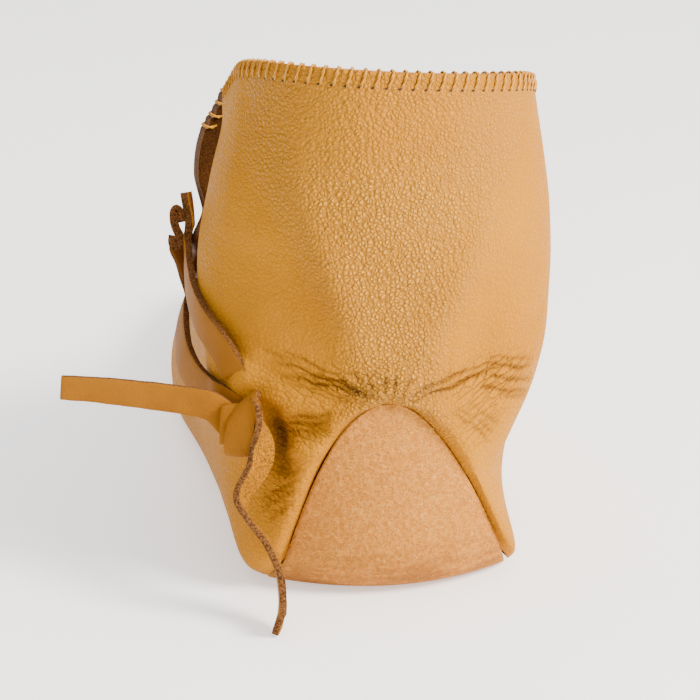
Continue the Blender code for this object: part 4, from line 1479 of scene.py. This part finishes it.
def make_sole_leather():
    material, shader, place, node = start_material("natural_vegetable_tanned_sole")
    drift = node("ShaderNodeTexNoise", {"Vector": place, "Scale": per_metre(VEIN_DRIFT_MM), "Detail": 3.0})
    bent = node(
        "ShaderNodeVectorMath",
        {0: drift.outputs["Color"], 1: VEIN_PUSH, 2: place},
        operation="MULTIPLY_ADD",
    )
    wide = node("ShaderNodeMapping", {"Vector": bent, "Scale": VEIN_SHAPE})
    cells = {"Vector": wide, "Scale": per_metre(VEIN_MM)}
    veins = node("ShaderNodeTexVoronoi", cells, feature="DISTANCE_TO_EDGE")
    line = node(
        "ShaderNodeMapRange",
        {"Value": veins, "From Min": 0.0, "From Max": 0.1, "To Min": 1.0, "To Max": 0.0},
        interpolation_type="SMOOTHSTEP",
    )
    mottle = node("ShaderNodeTexNoise", {"Vector": place, "Scale": per_metre(MOTTLE_MM), "Detail": 4.0})
    spread = node(
        "ShaderNodeMapRange",
        {"Value": mottle, "From Min": 0.36, "From Max": 0.64},
        interpolation_type="SMOOTHSTEP",
    )
    ground = node(
        "ShaderNodeMix",
        {"Factor": spread, MIX_A: linear("#AA6A1E"), MIX_B: linear("#BA782C")},
        data_type="RGBA",
    )
    faint = node("ShaderNodeMath", {0: line, 1: 0.8}, operation="MULTIPLY")
    veined = node(
        "ShaderNodeMix",
        {"Factor": faint, MIX_A: ground.outputs[MIXED], MIX_B: linear("#D0923E")},
        data_type="RGBA",
    )
    level = node("ShaderNodeSeparateXYZ", {"Vector": place}).outputs["Z"]
    low = node(
        "ShaderNodeMapRange",
        {"Value": level, "From Min": SCUFF_FROM_Z, "From Max": SCUFF_TO_Z, "To Min": 1.0, "To Max": 0.0},
    )
    flat = node("ShaderNodeMapping", {"Vector": place, "Scale": tuple(1 / (c * MM) for c in SCUFF_MM)})
    streak = node("ShaderNodeTexNoise", {"Vector": flat, "Scale": 1.0, "Detail": 5.0})
    streaks = node("ShaderNodeMapRange", {"Value": streak, "From Min": 0.4, "From Max": 0.62})
    scuffed = node("ShaderNodeMath", {0: streaks, 1: low}, operation="MULTIPLY")
    scuff = node("ShaderNodeMath", {0: scuffed, 1: 0.65}, operation="MULTIPLY", use_clamp=True)
    colour = node(
        "ShaderNodeMix",
        {"Factor": scuff, MIX_A: veined.outputs[MIXED], MIX_B: linear("#6E3C14")},
        data_type="RGBA",
    )
    height = node("ShaderNodeMath", {0: line, 1: 0.5, 2: spread}, operation="MULTIPLY_ADD")
    bump = node("ShaderNodeBump", {"Height": height, "Strength": 1.0, "Distance": 0.22 * MM})
    fill(shader, {"Base Color": colour.outputs[MIXED], "Normal": bump, "Roughness": 0.7, "IOR": 1.45})
    fill(shader, {"Specular IOR Level": 0.12})
    return material


sole_leather = make_sole_leather()
sole_edge_finish = make_fibrous("pale_cut_sole_edge", "#AC6C24", "#DCA050", SPECKLE_MM, 0.2)
print(sole_leather.name, len(sole_leather.node_tree.nodes), "nodes")

# %% Sole
SOLE_COLUMNS = 40
SOLE_TOE_ROWS = 14


def make_sole():
    """The sole and its heel riser as one sheet, with its grain side down and outwards."""
    turns = [k / SOLE_TOE_ROWS * math.pi / 2 for k in range(SOLE_TOE_ROWS, 0, -1)]
    lines = [along for along in alongs if along <= SECTIONS[APEX_ROW][1]]

    def point(row, column):
        share = column / (SOLE_COLUMNS - 1)
        if row < len(turns):
            left, right = (toe_edge(turns[row], side) for side in (-1, 1))
            return left.lerp(right, share)
        along = lines[row - len(turns)]
        left, right = (sole_edge(along, side) for side in (-1, 1))
        spot = left.lerp(right, share)
        spot.y = centre_line(along)[0] + heel_round(along, spot.x - swing(along))
        return spot

    materials = [sole_leather, flesh, sole_edge_finish]
    sole, form, _ = make_sheet("sole_leather", len(turns) + len(lines), SOLE_COLUMNS, point, materials)
    bmesh.ops.remove_doubles(form, verts=form.verts, dist=MERGE_DISTANCE)
    face_out(form, Vector((0.0, 0.0, 0.0)), Vector((0.0, 0.0, -1.0)))
    close_mesh(sole, form)
    add_wall(sole, SOLE_THICKNESS)
    settle(sole, "natural_leather", "sole")
    return sole


sole = make_sole()
print("sole:", count(sole), "triangles")

# %% [markdown]
# ## Floor and light
# A pale floor runs on behind the shoe, and its far edge is out of sight. It stands for a translucent table
# lit a little from below, so it gives off a weak light of its own. One large soft light from the right and
# above gives the form its shading, and the pale world fills the shadows, as in a light tent whose left wall
# is darker.

# %% Floor, lights and world
FLOOR_HALF_SIZE = 6.0


def make_floor():
    form = bmesh.new()
    bmesh.ops.create_grid(form, x_segments=1, y_segments=1, size=FLOOR_HALF_SIZE)
    mesh = bpy.data.meshes.new("floor")
    form.to_mesh(mesh)
    form.free()
    material, shader, _, _ = start_material("pale_studio_floor")
    fill(shader, {"Base Color": linear("#F4F3F2"), "Roughness": 0.7})
    fill(shader, {"Emission Color": linear("#FFFBF8"), "Emission Strength": 0.75})
    mesh.materials.append(material)
    floor = bpy.data.objects.new("floor", mesh)
    bpy.context.scene.collection.objects.link(floor)


def make_light(name, power, size, place, aim, colour):
    """A square area light, with its power in watts and its size and places in metres."""
    light = bpy.data.lights.new(name, "AREA")
    light.energy = power
    light.size = size
    light.color = linear(colour)[:3]
    lamp = bpy.data.objects.new(name, light)
    lamp.location = place
    lamp.rotation_euler = (Vector(aim) - Vector(place)).to_track_quat("-Z", "Y").to_euler()
    bpy.context.scene.collection.objects.link(lamp)


make_floor()
make_light("soft_key", 52.0, 0.5, (0.9, -0.7, 0.9), (0.0, -0.1, 0.08), "#FFF6EA")
make_light("top_fill", 6.0, 0.9, (-0.2, 0.1, 1.3), (0.0, -0.05, 0.05), "#FFFFFF")
world = bpy.data.worlds.new("studio")
world.use_nodes = True
background = world.node_tree.nodes["Background"]
background.inputs["Color"].default_value = linear("#F4F4F6")
direction = add_node(world, "ShaderNodeTexCoord").outputs["Generated"]
sideways = add_node(world, "ShaderNodeSeparateXYZ", {"Vector": direction}).outputs["X"]
bright = {"Value": sideways, "From Min": -0.9, "From Max": 0.4, "To Min": 0.72, "To Max": 1.6}
fill(background, {"Strength": add_node(world, "ShaderNodeMapRange", bright)})
bpy.context.scene.world = world
